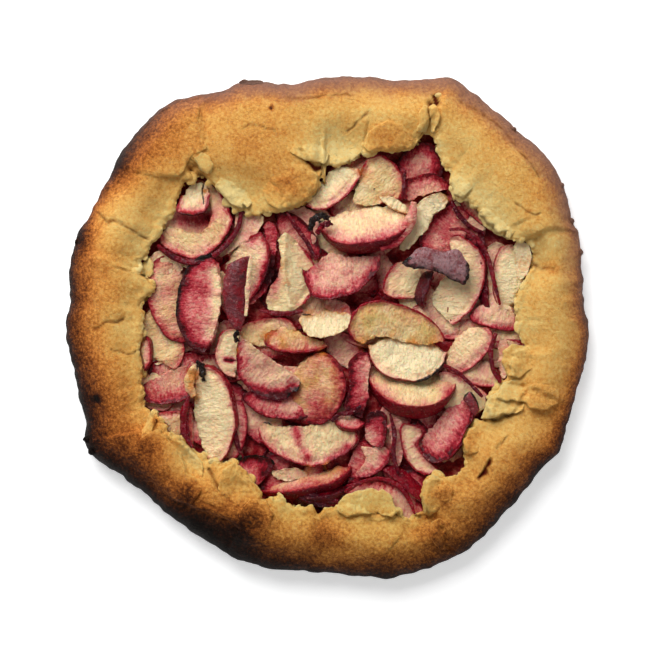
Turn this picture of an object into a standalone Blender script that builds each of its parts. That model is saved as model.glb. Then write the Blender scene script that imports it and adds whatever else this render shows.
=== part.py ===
"""Rustic nectarine tart: a free-form pastry case folded over a heap of nectarine slices.

Run with: blender --background --python part.py
The scene is in metres with +Z up. The tart stands on z = 0, and the origin is under its middle.
Plan positions and sizes below are in millimetres and pass through MM on their way into the scene.
"""

import math
from collections import namedtuple

import bmesh
import bpy
from mathutils import Matrix, Vector, noise

MM = 0.001

# ---------------------------------------------------------------- driving dimensions, in mm
BASE_THICK = 4.0  # pastry under the fruit
BED_TOP = 10.0  # level of the cooked fruit and juice that the slices lie on
SHOULDER = 18.5  # height of the rolled outer edge where it turns into the top
CREST = 22.0  # height of the folded pastry at its fullest
LIP = 17.5  # height of the folded edge over the fruit
LIP_NOSE = 4.6  # thickness of that edge
WALL_SET_BACK = 2.6  # how far the inner wall stands back under the edge
EDGE_ROLL = ((3.5, 0.0), (0.8, 2.6), (0.0, 6.4), (1.2, 11.0), (4.4, 15.4))  # inset and height
ROLL_WIDTH = 10.0  # inset at which the rolled edge reaches the shoulder
TOP_SHARES = (0.16, 0.34, 0.52, 0.70, 0.86)  # rows across the top, from shoulder to lip
GAP = 0.4  # clearance between neighbouring pieces
RIM_GAP = 0.7  # clearance from the ragged edge of the case, measured towards the middle
STATIONS = 132  # sections round the case
BED_RINGS = (0.5, 0.85)
BED_DIP = 1.6  # how far the juice lies under the top of the bed between slices
SKIN_STEPS = 8
CORE_STEPS = 4
WEDGE_STEPS = 3
BLUNT = 0.07  # share of a slice's width that its inner edge is cut back

# Outer edge of the case in plan, counter-clockwise from the east.
OUTER_EDGE = (
    (141, -4), (138, 12), (137, 30), (136, 47), (131, 61), (126, 79), (117, 93), (105, 103),
    (95, 113), (80, 125), (66, 134), (54, 134), (38, 133), (18, 135), (-2, 134), (-22, 131),
    (-38, 132), (-49, 131), (-56, 127), (-74, 124), (-88, 119), (-103, 104), (-112, 92),
    (-118, 80), (-127, 62), (-134, 51), (-139, 34), (-138, 16), (-141, 0), (-138, -16),
    (-134, -35), (-130, -50), (-130, -62), (-124, -71), (-110, -80), (-95, -92), (-80, -105),
    (-65, -115), (-50, -124), (-34, -129), (-17, -131), (2, -132), (18, -134), (32, -135),
    (46, -132), (60, -127), (73, -121), (85, -111), (95, -100), (108, -86), (115, -75),
    (124, -68), (128, -55), (133, -38), (138, -21),
)

# Ragged edge of the folded pastry over the fruit, counter-clockwise from the east.
LIP_EDGE = (
    (101, 2), (100, 12), (104, 22), (108, 31), (111, 40), (106, 46), (98, 47), (93, 51),
    (88, 53), (80, 62), (75, 69), (67, 69), (65, 80), (60, 90), (58, 98), (54, 104), (49, 100),
    (46, 96), (34, 95), (22, 93), (17, 92), (9, 87), (1, 87), (-2, 81), (-3, 75), (-10, 67),
    (-18, 64), (-27, 61), (-37, 61), (-44, 62), (-46, 67), (-49, 63), (-54, 68), (-60, 76),
    (-66, 82), (-73, 79), (-78, 75), (-81, 65), (-86, 56), (-89, 50), (-95, 43), (-99, 36),
    (-104, 28), (-97, 27), (-92, 21), (-98, 13), (-98, 4), (-99, -6), (-101, -13), (-98, -24),
    (-101, -31), (-98, -37), (-99, -45), (-92, -44), (-90, -52), (-84, -54), (-79, -59),
    (-72, -66), (-65, -67), (-62, -72), (-58, -74), (-52, -71), (-45, -77), (-38, -87),
    (-33, -92), (-25, -89), (-19, -95), (-11, -96), (-5, -99), (3, -95), (12, -90), (19, -86),
    (32, -87), (36, -95), (43, -102), (50, -99), (50, -90), (53, -80), (60, -80), (70, -79),
    (74, -71), (72, -61), (76, -54), (83, -50), (81, -42), (85, -36), (91, -30), (97, -26),
    (94, -17), (98, -12), (107, -11), (103, -4),
)

# Puffed and sunken places of the pastry: x, y, spread, rise.
SWELLS = (
    (-45, 102, 30, 3.0), (-16, 88, 16, 2.0), (34, 104, 15, 2.2), (14, 100, 9, -3.0),
    (-38, 80, 11, -2.6), (-92, 98, 20, 1.8), (-104, 58, 20, 2.0), (84, 86, 24, 2.6),
    (100, 62, 15, 1.2), (118, 44, 9, -2.4), (122, 18, 16, 1.6), (118, -14, 14, 1.4),
    (90, -38, 10, 1.6), (108, -46, 10, -1.6), (96, -76, 17, 2.2), (62, -106, 9, -2.6),
    (28, -106, 20, 1.2), (-16, -106, 14, 1.6), (-62, -84, 14, 1.4), (-88, -68, 14, 1.6),
    (-106, -28, 14, 1.6), (-112, 4, 14, 1.2), (-118, 26, 12, 1.4),
)

# Pleats, walked from the fruit outwards: way points, and how far the left side stands proud.
PLEATS = (
    (((-70, 80), (-67, 94), (-69, 108), (-60, 120)), 3.0),
    (((-78, 79), (-92, 82), (-114, 86)), -1.8),
    (((54, 102), (57, 113), (60, 124), (63, 134)), -2.0),
    (((102, 46), (112, 50), (122, 55), (134, 52)), 2.4),
    (((94, -28), (104, -30), (113, -34), (126, -40)), 2.0),
    (((52, -96), (60, -103), (63, -113), (70, -123)), 3.0),
    (((-34, -90), (-40, -100), (-46, -110), (-52, -122)), 2.6),
    (((-92, -45), (-102, -52), (-115, -57), (-128, -60)), 2.8),
    (((-93, 22), (-104, 29), (-116, 37), (-134, 43)), 2.4),
)
PLEAT_FADE = 14.0  # distance over which the proud side settles back
PLEAT_GUTTER = 4.0  # width of the dip along the foot of a pleat

# One row for each slice, from the top of the heap down. tail and head are its two tips in plan;
# walking from tail to head, the skin is on the right. skin is how far the cut face reaches from
# the line between the tips to the skin, and core how far its inner edge lies from that line:
# above 0 it is hollowed by the stone, below 0 it bulges. wedge is the angle between the two cut
# faces, roll how far the upper one tips up towards the skin, pitch how far the head stands above
# the tail, and lift the height of the middle of the upper face over the bed.
Slice = namedtuple("Slice", "name tail head skin core wedge roll pitch lift look")
SLICES = (
    Slice("slice_dark_cap", (76, 23), (37, 33), 14, -1, 66, 96, 4, 10.0, "skin"),
    Slice("slice_long_pale", (63, -10), (10, -7), 22, 3, 34, 6, 2, 10.5, "pale"),
    Slice("slice_torn_strip", (25, 72), (45, 65), 5, -2, 40, 10, -4, 10.0, "pale"),
    Slice("slice_north_boat", (-5, 58), (46, 64), 21, -4, 44, 36, 3, 9.5, "blush"),
    Slice("slice_heart_pink", (-16, 33), (33, 38), 19, -6, 36, 14, 2, 8.0, "rosy"),
    Slice("slice_red_drop", (-49, -3), (-13, -32), 19, -3, 40, -10, -4, 9.5, "rosy"),
    Slice("slice_west_white", (-63, -74), (-68, -20), 17, -7, 40, 22, 5, 8.0, "pale"),
    Slice("slice_red_west", (-62, 39), (-65, -14), 18, -7, 40, -8, 0, 8.5, "red"),
    Slice("slice_skin_spear", (-42, 41), (-45, -4), 14, -1, 64, 76, 0, 6.5, "skin"),
    Slice("slice_cream_small", (-18, 6), (13, 4), 12, -3, 42, 16, 0, 8.6, "pale"),
    Slice("slice_red_southeast", (47, -65), (77, -38), 18, -2, 44, 22, 4, 7.5, "red"),
    Slice("slice_purple_chip", (73, -32), (80, -50), 8, -1, 70, 84, 0, 7.0, "skin"),
    Slice("slice_east_pale", (22, -9), (64, -13), 18, -7, 36, 10, -2, 7.6, "pale"),
    Slice("slice_curl_north", (-83, 72), (-61, 71), 13, -7, 36, 14, 0, 8.0, "pale"),
    Slice("slice_east_boat", (22, -19), (71, -25), 26, -4, 48, 40, 3, 6.0, "pale"),
    Slice("slice_amber", (-35, 1), (1, -11), 9, -6, 44, 20, 0, 7.0, "pale"),
    Slice("slice_centre_south", (-13, -52), (-5, -12), 19, -12, 34, 8, 2, 6.6, "rosy"),
    Slice("slice_white_nook", (-48, 0), (-50, -27), 11, -4, 38, 8, 0, 6.4, "pale"),
    Slice("slice_rosy_shelf", (-46, -35), (-8, -45), 9, -7, 38, 6, 0, 5.4, "rosy"),
    Slice("slice_ridge", (-18, 8), (-22, 52), 19, -1, 86, -40, 2, 6.2, "pale"),
    Slice("slice_south_moon", (-39, -52), (18, -54), 23, -7, 34, 4, 0, 5.6, "blush"),
    Slice("slice_fan_pale", (-45, 8), (-42, 54), 13, -15, 38, 24, 2, 5.6, "pale"),
    Slice("slice_north_cream", (-15, 68), (18, 89), 15, -10, 34, 8, 0, 6.6, "pale"),
    Slice("slice_northeast_torn", (67, 71), (33, 40), 13, -7, 38, 10, -4, 6.8, "pale"),
    Slice("slice_garnet_north", (68, 71), (39, 67), 14, -2, 38, 12, 0, 6.0, "red"),
    Slice("slice_north_glass", (35, 59), (12, 91), 17, -14, 34, 4, 2, 5.2, "blush"),
    Slice("slice_dark_post", (58, 30), (52, 10), 7, -1, 64, 76, 0, 5.0, "skin"),
    Slice("slice_ring_northeast", (63, -3), (63, 53), 23, -5, 36, 8, 3, 5.6, "pale"),
    Slice("slice_ring_northwest", (-92, 50), (-58, 80), 29, 11, 36, 12, 0, 6.0, "pale"),
    Slice("slice_pale_nest", (34, 40), (53, 10), 15, -8, 34, 10, 0, 4.8, "pale"),
    Slice("slice_east_diamond", (64, -23), (86, 1), 10, -9, 36, 8, 0, 5.2, "blush"),
    Slice("slice_blush_arch", (-16, -3), (-49, -6), 10, -6, 38, 10, 0, 4.8, "blush"),
    Slice("slice_skin_post", (24, -6), (22, -50), 14, -1, 66, 76, -3, 4.0, "skin"),
    Slice("slice_little_boat", (3, -46), (21, -50), 8, -2, 44, 34, 0, 5.8, "blush"),
    Slice("slice_small_curl", (-99, -24), (-98, -4), 5, -4, 60, 30, 0, 6.0, "red"),
    Slice("slice_west_long", (-88, 39), (-76, -8), 14, -9, 36, 8, 0, 4.8, "blush"),
    Slice("slice_garnet_chip", (29, -67), (23, -44), 8, -6, 40, 8, 0, 4.8, "red"),
    Slice("slice_crescent_south", (12, -83), (33, -61), 11, -7, 38, 8, 0, 4.4, "blush"),
    Slice("slice_bark_south", (-38, -85), (13, -73), 13, -1, 52, 54, 4, 4.6, "skin"),
    Slice("slice_pink_west", (-103, -30), (-68, -23), 13, -6, 38, 8, 0, 4.6, "rosy"),
    Slice("slice_west_strip", (-72, -39), (-71, -67), 8, -1, 62, 66, 0, 4.0, "skin"),
    Slice("slice_rosy_west", (-55, -73), (-49, -38), 9, -8, 38, 8, 0, 4.2, "blush"),
    Slice("slice_garnet_southwest", (-26, -79), (-53, -73), 9, -10, 38, 4, 0, 4.6, "red"),
    Slice("slice_blush_southeast", (48, -47), (63, -82), 11, -7, 36, 8, 0, 4.0, "blush"),
    Slice("slice_pale_southeast", (88, -42), (59, -24), 5, -15, 36, 4, 0, 4.0, "pale"),
    Slice("slice_plum_north", (-5, 36), (-28, 61), 9, -7, 38, 4, 0, 4.2, "red"),
    Slice("slice_east_thread", (84, 53), (88, 8), 6, -1, 70, 78, 0, 4.2, "skin"),
    Slice("slice_east_rim", (99, 45), (97, 9), 10, -8, 38, 8, 0, 4.4, "pale"),
    Slice("slice_east_fold", (76, 7), (104, 2), 6, -12, 36, 6, 0, 3.8, "blush"),
    Slice("slice_rim_northeast", (68, 73), (92, 51), 4, -12, 38, 4, 0, 4.0, "blush"),
    Slice("slice_south_arch", (52, -103), (5, -93), 16, -8, 36, 8, 0, 4.0, "rosy"),
    Slice("slice_dark_south", (-21, -87), (13, -83), 11, -2, 64, 62, 0, 3.0, "skin"),
    Slice("slice_ruby_northeast", (76, 66), (52, 39), 12, -11, 34, 2, 0, 3.4, "red"),
    Slice("slice_south_wedge", (54, -100), (26, -76), 9, -2, 66, 72, 0, 3.0, "skin"),
    Slice("slice_veil_north", (62, 81), (37, 84), 17, -6, 34, 2, 0, 3.2, "rosy"),
    Slice("slice_west_broad", (-82, -23), (-91, 16), 9, -15, 34, 4, 0, 3.4, "pale"),
    Slice("slice_southwest_rim", (-73, -48), (-95, -50), 5, -12, 36, 4, 0, 3.4, "pale"),
    Slice("slice_beige_east", (70, -23), (94, -30), 5, -10, 36, 4, 0, 3.2, "blush"),
)

# look: colour of the cut face. Skin is the same plum red on all of them.
FLESH = {
    "pale": (0.80, 0.62, 0.36),
    "blush": (0.76, 0.46, 0.30),
    "rosy": (0.60, 0.26, 0.18),
    "red": (0.48, 0.10, 0.10),
    "skin": (0.70, 0.40, 0.24),
}
SKIN = (0.19, 0.012, 0.022)


# ---------------------------------------------------------------- scene helpers
def clear_scene():
    for obj in list(bpy.data.objects):
        bpy.data.objects.remove(obj, do_unlink=True)


def new_collection(name, hidden=False):
    collection = bpy.data.collections.new(name)
    bpy.context.scene.collection.children.link(collection)
    collection.hide_render = hidden
    return collection


def new_material(name, colour, roughness):
    material = bpy.data.materials.new(name)
    material.use_nodes = True
    shader = material.node_tree.nodes["Principled BSDF"]
    shader.inputs["Base Color"].default_value = (*colour, 1.0)
    shader.inputs["Roughness"].default_value = roughness
    shader.inputs["Metallic"].default_value = 0.0
    return material


def shade_round(mesh):
    mesh.shade_smooth()
    mesh.set_sharp_from_angle(angle=math.radians(35))


def object_from(name, bm, collection, materials):
    mesh = bpy.data.meshes.new(name)
    bm.to_mesh(mesh)
    bm.free()
    shade_round(mesh)
    for material in materials:
        mesh.materials.append(material)
    obj = bpy.data.objects.new(name, mesh)
    collection.objects.link(obj)
    return obj


# ---------------------------------------------------------------- outlines and relief
def polar(points):
    """Way points as (bearing, radius), sorted by bearing."""
    return sorted((math.atan2(y, x) % math.tau, math.hypot(x, y)) for x, y in points)


def radius_at(stations, bearing, smooth):
    """Radius of a closed outline at a bearing, by a straight or a Hermite run between way points."""
    count = len(stations)
    bearing %= math.tau
    after = next((i for i, (a, _) in enumerate(stations) if a > bearing), 0)
    before = (after - 1) % count
    (a0, r0), (a1, r1) = stations[before], stations[after]
    span = (a1 - a0) % math.tau
    share = ((bearing - a0) % math.tau) / span
    if not smooth:
        return r0 + (r1 - r0) * share
    r_before, r_after = stations[before - 1][1], stations[(after + 1) % count][1]
    slope0, slope1 = (r1 - r_before) / 2, (r_after - r0) / 2
    s2, s3 = share * share, share**3
    return (
        (2 * s3 - 3 * s2 + 1) * r0
        + (s3 - 2 * s2 + share) * slope0
        + (3 * s2 - 2 * s3) * r1
        + (s3 - s2) * slope1
    )


OUTER_STATIONS = polar(OUTER_EDGE)
LIP_STATIONS = polar(LIP_EDGE)


def nearest_on_path(point, path):
    """Signed distance to a polyline, positive on its left, and the nearest place on it."""
    best = None
    for start, end in zip(path, path[1:]):
        a, b = Vector(start), Vector(end)
        run = b - a
        share = max(0.0, min(1.0, (point - a).dot(run) / run.length_squared))
        foot = a + run * share
        away = (point - foot).length
        if best is None or away < abs(best):
            side = run.x * (point.y - a.y) - run.y * (point.x - a.x)
            best = math.copysign(away, side)
    return best


def pleat_relief(point):
    rise = 0.0
    for path, proud in PLEATS:
        away = nearest_on_path(point, path)
        if (away > 0) == (proud > 0):
            rise += abs(proud) * math.exp(-abs(away) / PLEAT_FADE)
        else:
            rise -= 0.4 * abs(proud) * math.exp(-abs(away) / PLEAT_GUTTER)
    return rise


def swell_relief(point):
    return sum(
        rise * math.exp(-((point.x - x) ** 2 + (point.y - y) ** 2) / (2 * spread**2))
        for x, y, spread, rise in SWELLS
    )


def hand_made(point, size, seed):
    """Smooth unevenness from -1 to 1 that changes over about `size` mm."""
    return noise.noise(Vector((point.x / size, point.y / size, seed)))


def pastry_top(point, share):
    """Height of the folded pastry; share runs from 0 at the shoulder to 1 at the lip."""
    arch = math.sin(math.pi * min(1.0, share / 0.8))
    level = SHOULDER + (LIP - SHOULDER) * share + (CREST - SHOULDER) * max(0.0, arch)
    fade = min(1.0, 0.35 + 1.3 * share) * min(1.0, 0.4 + 2.4 * (1 - share))
    return level + fade * (pleat_relief(point) + swell_relief(point)) + 0.8 * hand_made(point, 22, 3)


# ---------------------------------------------------------------- pastry case
def case_section(bearing):
    """Points of one upright section, from the foot over the top to the floor: (radius, height)."""
    along = Vector((math.cos(bearing), math.sin(bearing)))
    outer = radius_at(OUTER_STATIONS, bearing, True)
    lip = radius_at(LIP_STATIONS, bearing, False)
    uneven = 0.9 * hand_made(along * outer, 9, 7)
    section = []
    for inset, height in EDGE_ROLL:
        section.append((outer - inset + (uneven if height else 0.0), height))
    shoulder, nose = outer - ROLL_WIDTH, lip + 1.6
    section.append((shoulder, pastry_top(along * shoulder, 0.0)))
    for share in TOP_SHARES:
        radius = shoulder + (nose - shoulder) * share
        section.append((radius, pastry_top(along * radius, share)))
    edge = min(pastry_top(along * nose, 1.0), LIP + 3.5)
    section.append((nose, edge - 0.5))
    section.append((lip, edge - 2.2))
    section.append((lip + 1.2, edge - LIP_NOSE))
    section.append((lip + WALL_SET_BACK, BED_TOP))
    section.append((lip + WALL_SET_BACK, BASE_THICK))
    return section


def lofted_ring(sections, floor_height):
    """Solid with a flat foot at z = 0 and a floor, skinned over sections round the middle."""
    bm = bmesh.new()
    rings = []
    for index, section in enumerate(sections):
        bearing = math.tau * index / len(sections)
        c, s = math.cos(bearing), math.sin(bearing)
        rings.append([bm.verts.new((r * c * MM, r * s * MM, z * MM)) for r, z in section])
    foot = bm.verts.new((0.0, 0.0, 0.0))
    floor = bm.verts.new((0.0, 0.0, floor_height * MM))
    for here, there in zip(rings, rings[1:] + rings[:1]):
        for low, high in zip(range(len(here)), range(1, len(here))):
            bm.faces.new((here[low], there[low], there[high], here[high]))
        bm.faces.new((foot, there[0], here[0]))
        bm.faces.new((floor, here[-1], there[-1]))
    return bm


def make_case(collection, material):
    sections = [case_section(math.tau * i / STATIONS) for i in range(STATIONS)]
    return object_from("pastry_case", lofted_ring(sections, BASE_THICK), collection, [material])


def make_bed(collection, material):
    """Cooked fruit and juice under the slices, from the pastry floor up to the slices."""
    sections = []
    for i in range(STATIONS):
        bearing = math.tau * i / STATIONS
        along = Vector((math.cos(bearing), math.sin(bearing)))
        edge = radius_at(LIP_STATIONS, bearing, False) + WALL_SET_BACK - RIM_GAP
        section = [(edge, BASE_THICK + GAP), (edge, BED_TOP - BED_DIP)]
        for share in reversed(BED_RINGS):
            dip = BED_DIP * (0.5 + 0.5 * hand_made(along * edge * share, 8, 11))
            section.append((edge * share, BED_TOP - dip))
        sections.append(section)
    bm = lofted_ring(sections, BED_TOP - BED_DIP)
    for vert in bm.verts:
        if vert.co.length < MM * BASE_THICK / 2:
            vert.co.z = (BASE_THICK + GAP) * MM
    return object_from("fruit_bed", bm, collection, [material])


# ---------------------------------------------------------------- nectarine slices
def half_length(spec):
    return (Vector(spec.head) - Vector(spec.tail)).length / 2


def face_width(spec):
    return spec.skin - min(0.0, spec.core)


def slice_outline(spec):
    """Cut face of a slice in its own plane: the skin arc, then the edge by the stone."""
    half = half_length(spec)
    outline = []
    for step in range(SKIN_STEPS + 1):
        turn = math.pi * (step / SKIN_STEPS - 0.5)
        outline.append((spec.skin * math.cos(turn) ** 0.9, half * math.sin(turn)))
    for step in range(CORE_STEPS):
        share = 1 - 2 * (step + 0.5) / CORE_STEPS
        outline.append((spec.core * (1 - share * share), 0.9 * half * share))
    return outline


def slice_placement(spec):
    tail, head = Vector(spec.tail), Vector(spec.head)
    run = head - tail
    roll, pitch = math.radians(spec.roll), math.radians(spec.pitch)
    height = BED_TOP + spec.lift - (spec.skin + min(0.0, spec.core)) / 2 * math.sin(roll)
    middle = (tail + head) / 2
    skin_heading = math.atan2(run.y, run.x) - math.pi / 2
    return (
        Matrix.Translation((middle.x * MM, middle.y * MM, height * MM))
        @ Matrix.Rotation(skin_heading, 4, "Z")
        @ Matrix.Rotation(pitch, 4, "X")
        @ Matrix.Rotation(-roll, 4, "Y")
    )


def slice_bmesh(spec, grow=0.0):
    """A wedge of nectarine: its cut face spun about the fruit's axis, then laid in its place."""
    bm = bmesh.new()
    axis = min(0.0, spec.core) - BLUNT * face_width(spec)
    bm.faces.new([bm.verts.new((x * MM, y * MM, 0.0)) for x, y in slice_outline(spec)])
    bmesh.ops.spin(
        bm,
        geom=bm.verts[:] + bm.edges[:] + bm.faces[:],
        cent=(axis * MM, 0, 0),
        axis=(0, 1, 0),
        angle=math.radians(spec.wedge),
        steps=WEDGE_STEPS,
        use_duplicate=False,
    )
    bmesh.ops.recalc_face_normals(bm, faces=bm.faces[:])
    if grow:
        bm.normal_update()
        moves = [(v, v.normal * min(3.0, v.calc_shell_factor()) * grow * MM) for v in bm.verts]
        for vert, move in moves:
            vert.co += move
    bmesh.ops.transform(bm, matrix=slice_placement(spec), verts=bm.verts[:])
    return bm


def paint_skin(bm, spec):
    """Gives the rounded outside the second material."""
    inverse = slice_placement(spec).inverted()
    axis = min(0.0, spec.core) - BLUNT * face_width(spec)
    for face in bm.faces:
        place = inverse @ face.calc_center_median() / MM
        across = (math.hypot(place.x - axis, place.z) + axis) / spec.skin
        along = place.y / half_length(spec)
        face.material_index = 1 if max(0.0, across) ** 2 + along**2 > 0.86 else 0


def rim_cutter(collection):
    """Ring that fills the space of the case, reaching a little closer in than the lip."""
    bm = bmesh.new()
    columns = []
    for i in range(STATIONS):
        bearing = math.tau * i / STATIONS
        c, s = math.cos(bearing), math.sin(bearing)
        inner = radius_at(LIP_STATIONS, bearing, False) - RIM_GAP
        profile = ((inner, -5.0), (inner, 60.0), (170.0, 60.0), (170.0, -5.0))
        columns.append([bm.verts.new((r * c * MM, r * s * MM, z * MM)) for r, z in profile])
    for here, there in zip(columns, columns[1:] + columns[:1]):
        for low in range(len(here)):
            high = (low + 1) % len(here)
            bm.faces.new((here[low], here[high], there[high], there[low]))
    bmesh.ops.recalc_face_normals(bm, faces=bm.faces[:])
    return as_cutter(object_from("cut_rim", bm, collection, []))


def bed_cutter(collection):
    bm = bmesh.new()
    bmesh.ops.create_cube(bm, size=1.0)
    top = (BED_TOP + GAP) * MM
    bmesh.ops.scale(bm, verts=bm.verts[:], vec=(0.4, 0.4, 0.1))
    bmesh.ops.translate(bm, verts=bm.verts[:], vec=(0, 0, top - 0.05))
    return as_cutter(object_from("cut_bed", bm, collection, []))


def as_cutter(obj):
    obj.hide_render = True
    obj.display_type = "WIRE"
    return obj


def span(obj):
    """Lowest and highest corner of an object's mesh."""
    points = [v.co for v in obj.data.vertices]
    return (
        Vector(min(p[k] for p in points) for k in range(3)),
        Vector(max(p[k] for p in points) for k in range(3)),
    )


def spans_meet(first, second):
    return all(first[0][k] < second[1][k] and second[0][k] < first[1][k] for k in range(3))


def cut_away(obj, cutters):
    """Takes the cutters from the object and bakes the result into its mesh."""
    for cutter in cutters:
        modifier = obj.modifiers.new(cutter.name, "BOOLEAN")
        modifier.operation = "DIFFERENCE"
        modifier.solver = "EXACT"
        modifier.object = cutter
    graph = bpy.context.evaluated_depsgraph_get()
    result = bpy.data.meshes.new_from_object(obj.evaluated_get(graph))
    obj.modifiers.clear()
    obj.data = result


def islands(bm):
    """Groups of faces that hang together; two bodies that only touch along an edge stay apart."""
    left = set(bm.faces)
    groups = []
    while left:
        group, front = set(), [left.pop()]
        while front:
            face = front.pop()
            group.add(face)
            for edge in face.edges:
                for other in edge.link_faces:
                    if other in left and len(edge.link_faces) == 2:
                        left.discard(other)
                        front.append(other)
        groups.append(group)
    return groups


def keep_largest(bm):
    """Drops the loose scraps that the cuts leave."""
    groups = islands(bm)
    if len(groups) < 2:
        return
    groups.sort(key=lambda group: sum(face.calc_area() for face in group), reverse=True)
    for group in groups[1:]:
        bmesh.ops.delete(bm, geom=list(group), context="FACES")
    loose = [v for v in bm.verts if not v.link_faces]
    bmesh.ops.delete(bm, geom=loose, context="VERTS")


def make_slices(collection, cutters, looks, skin):
    rim, bed = rim_cutter(cutters), bed_cutter(cutters)
    above = []
    for spec in SLICES:
        obj = object_from(spec.name, slice_bmesh(spec), collection, [looks[spec.look], skin])
        own = span(obj)
        takes = [cutter for cutter, reach in above if spans_meet(own, reach)]
        cut_away(obj, [*takes, bed, rim])
        bm = bmesh.new()
        bm.from_mesh(obj.data)
        bmesh.ops.remove_doubles(bm, verts=bm.verts[:], dist=0.05 * MM)
        bmesh.ops.dissolve_limit(
            bm, angle_limit=math.radians(1.5), verts=bm.verts[:], edges=bm.edges[:]
        )
        bmesh.ops.triangulate(bm, faces=bm.faces[:])
        keep_largest(bm)
        paint_skin(bm, spec)
        bm.to_mesh(obj.data)
        bm.free()
        shade_round(obj.data)
        shape = as_cutter(object_from("cut_" + spec.name, slice_bmesh(spec, GAP), cutters, []))
        above.append((shape, span(shape)))


def main():
    clear_scene()
    tart = new_collection("nectarine_tart")
    cutters = new_collection("cutters", hidden=True)
    pastry = new_material("baked_pastry", (0.70, 0.42, 0.15), 0.75)
    juice = new_material("cooked_fruit", (0.16, 0.012, 0.02), 0.25)
    skin = new_material("nectarine_skin", SKIN, 0.35)
    looks = {look: new_material("flesh_" + look, colour, 0.5) for look, colour in FLESH.items()}
    make_case(tart, pastry)
    make_bed(tart, juice)
    make_slices(tart, cutters, looks, skin)


main()
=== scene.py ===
# %% [markdown]
# # A rustic nectarine tart
# The solids give the true sizes and places: a pastry case, a bed of cooked fruit and the slices.
# Each is replaced here by a finely shaped piece with its own material. Lengths in the tables are
# in millimetres, and MM turns them into the scene's metres.

# %% Load the solid tart
import math
import random
from collections import namedtuple

import bpy
import numpy as np
from mathutils import Matrix, Vector
from mathutils.bvhtree import BVHTree


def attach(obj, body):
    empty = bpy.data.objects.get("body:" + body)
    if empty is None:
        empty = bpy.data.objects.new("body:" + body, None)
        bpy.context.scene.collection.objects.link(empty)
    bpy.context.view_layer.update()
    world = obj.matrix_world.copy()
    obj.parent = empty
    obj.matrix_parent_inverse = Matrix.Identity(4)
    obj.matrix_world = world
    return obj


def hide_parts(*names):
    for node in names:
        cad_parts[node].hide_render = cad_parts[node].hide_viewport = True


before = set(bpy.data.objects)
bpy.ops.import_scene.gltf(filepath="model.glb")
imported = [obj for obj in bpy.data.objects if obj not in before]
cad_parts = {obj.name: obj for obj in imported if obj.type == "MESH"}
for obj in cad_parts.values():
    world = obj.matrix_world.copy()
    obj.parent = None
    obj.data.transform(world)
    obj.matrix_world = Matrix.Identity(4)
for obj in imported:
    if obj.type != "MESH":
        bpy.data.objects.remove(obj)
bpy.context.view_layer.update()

MM = 0.001

# %% [markdown]
# ## Camera and lamps
# A wide lens close by would make the near rim bulge, so a long lens far above is used. One broad
# soft lamp makes bumps bright on its side, and a weak one across from it keeps the shadows open.

# %% Camera and lamps
VIEW_WIDTH = 353.7  # millimetres of table across the view
CAMERA_HEIGHT = 1.6
SENSOR_WIDTH = 36.0
LAMPS = (  # name, place and side in metres, and watts
    ("window_light", (-0.50, 1.15, 1.05), 1.10, 33.0),
    ("table_fill", (0.7, -0.5, 1.1), 1.2, 1.0),
)

scene = bpy.context.scene
scene.view_settings.view_transform = "Standard"


def hang_above(name, data, place):
    thing = bpy.data.objects.new(name, data)
    scene.collection.objects.link(thing)
    thing.location = place
    if place[0] or place[1]:
        thing.rotation_euler = Vector(place).to_track_quat("Z", "Y").to_euler()
    return thing


lens = bpy.data.cameras.new("overhead")
lens.sensor_width = SENSOR_WIDTH
lens.lens = SENSOR_WIDTH * CAMERA_HEIGHT / (VIEW_WIDTH * MM)
scene.camera = hang_above("overhead", lens, (0.0, 0.0, CAMERA_HEIGHT))

for name, place, size, power in LAMPS:
    lamp = bpy.data.lights.new(name, "AREA")
    lamp.size = size
    lamp.energy = power
    hang_above(name, lamp, place)
print("camera lens", round(lens.lens, 1), "mm")

# %% [markdown]
# ## Room and table
# The room is pale but dark straight above, where the camera hangs, so that wet fruit shows the lamp
# as small lights and not a grey haze. The table just under the tart glows a little: it stays white
# and still takes a soft shadow.

# %% Room and table
ROOM_GREYS = ((0.62, 1.0), (0.90, 0.04))  # from the walls up to straight above
ROOM_STRENGTH = 0.42
TABLE_SIZE, TABLE_LEVEL = 6.0, -0.0002
TABLE_PAINT = {
    "Base Color": (0.98, 0.98, 0.98, 1.0),
    "Roughness": 0.8,
    "Emission Color": (1.0, 1.0, 1.0, 1.0),
    "Emission Strength": 0.44,
}

room = bpy.data.worlds.new("pale_room")
scene.world = room
room.use_nodes = True
air = room.node_tree
direction = air.nodes.new("ShaderNodeTexCoord")
split = air.nodes.new("ShaderNodeSeparateXYZ")
ceiling = air.nodes.new("ShaderNodeValToRGB")
for stop, (position, grey) in zip(ceiling.color_ramp.elements, ROOM_GREYS):
    stop.position = position
    stop.color = (grey, grey, grey, 1.0)
air.links.new(direction.outputs["Generated"], split.inputs[0])
air.links.new(split.outputs["Z"], ceiling.inputs[0])
air.links.new(ceiling.outputs["Color"], air.nodes["Background"].inputs["Color"])
air.nodes["Background"].inputs["Strength"].default_value = ROOM_STRENGTH

bpy.ops.mesh.primitive_plane_add(size=TABLE_SIZE, location=(0.0, 0.0, TABLE_LEVEL))
table_top = bpy.context.object
table_top.name = "table_top"
table_paint = bpy.data.materials.new("white_table")
table_paint.use_nodes = True
for socket, value in TABLE_PAINT.items():
    table_paint.node_tree.nodes["Principled BSDF"].inputs[socket].default_value = value
table_top.data.materials.append(table_paint)
print("table", TABLE_SIZE, "m wide")
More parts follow.
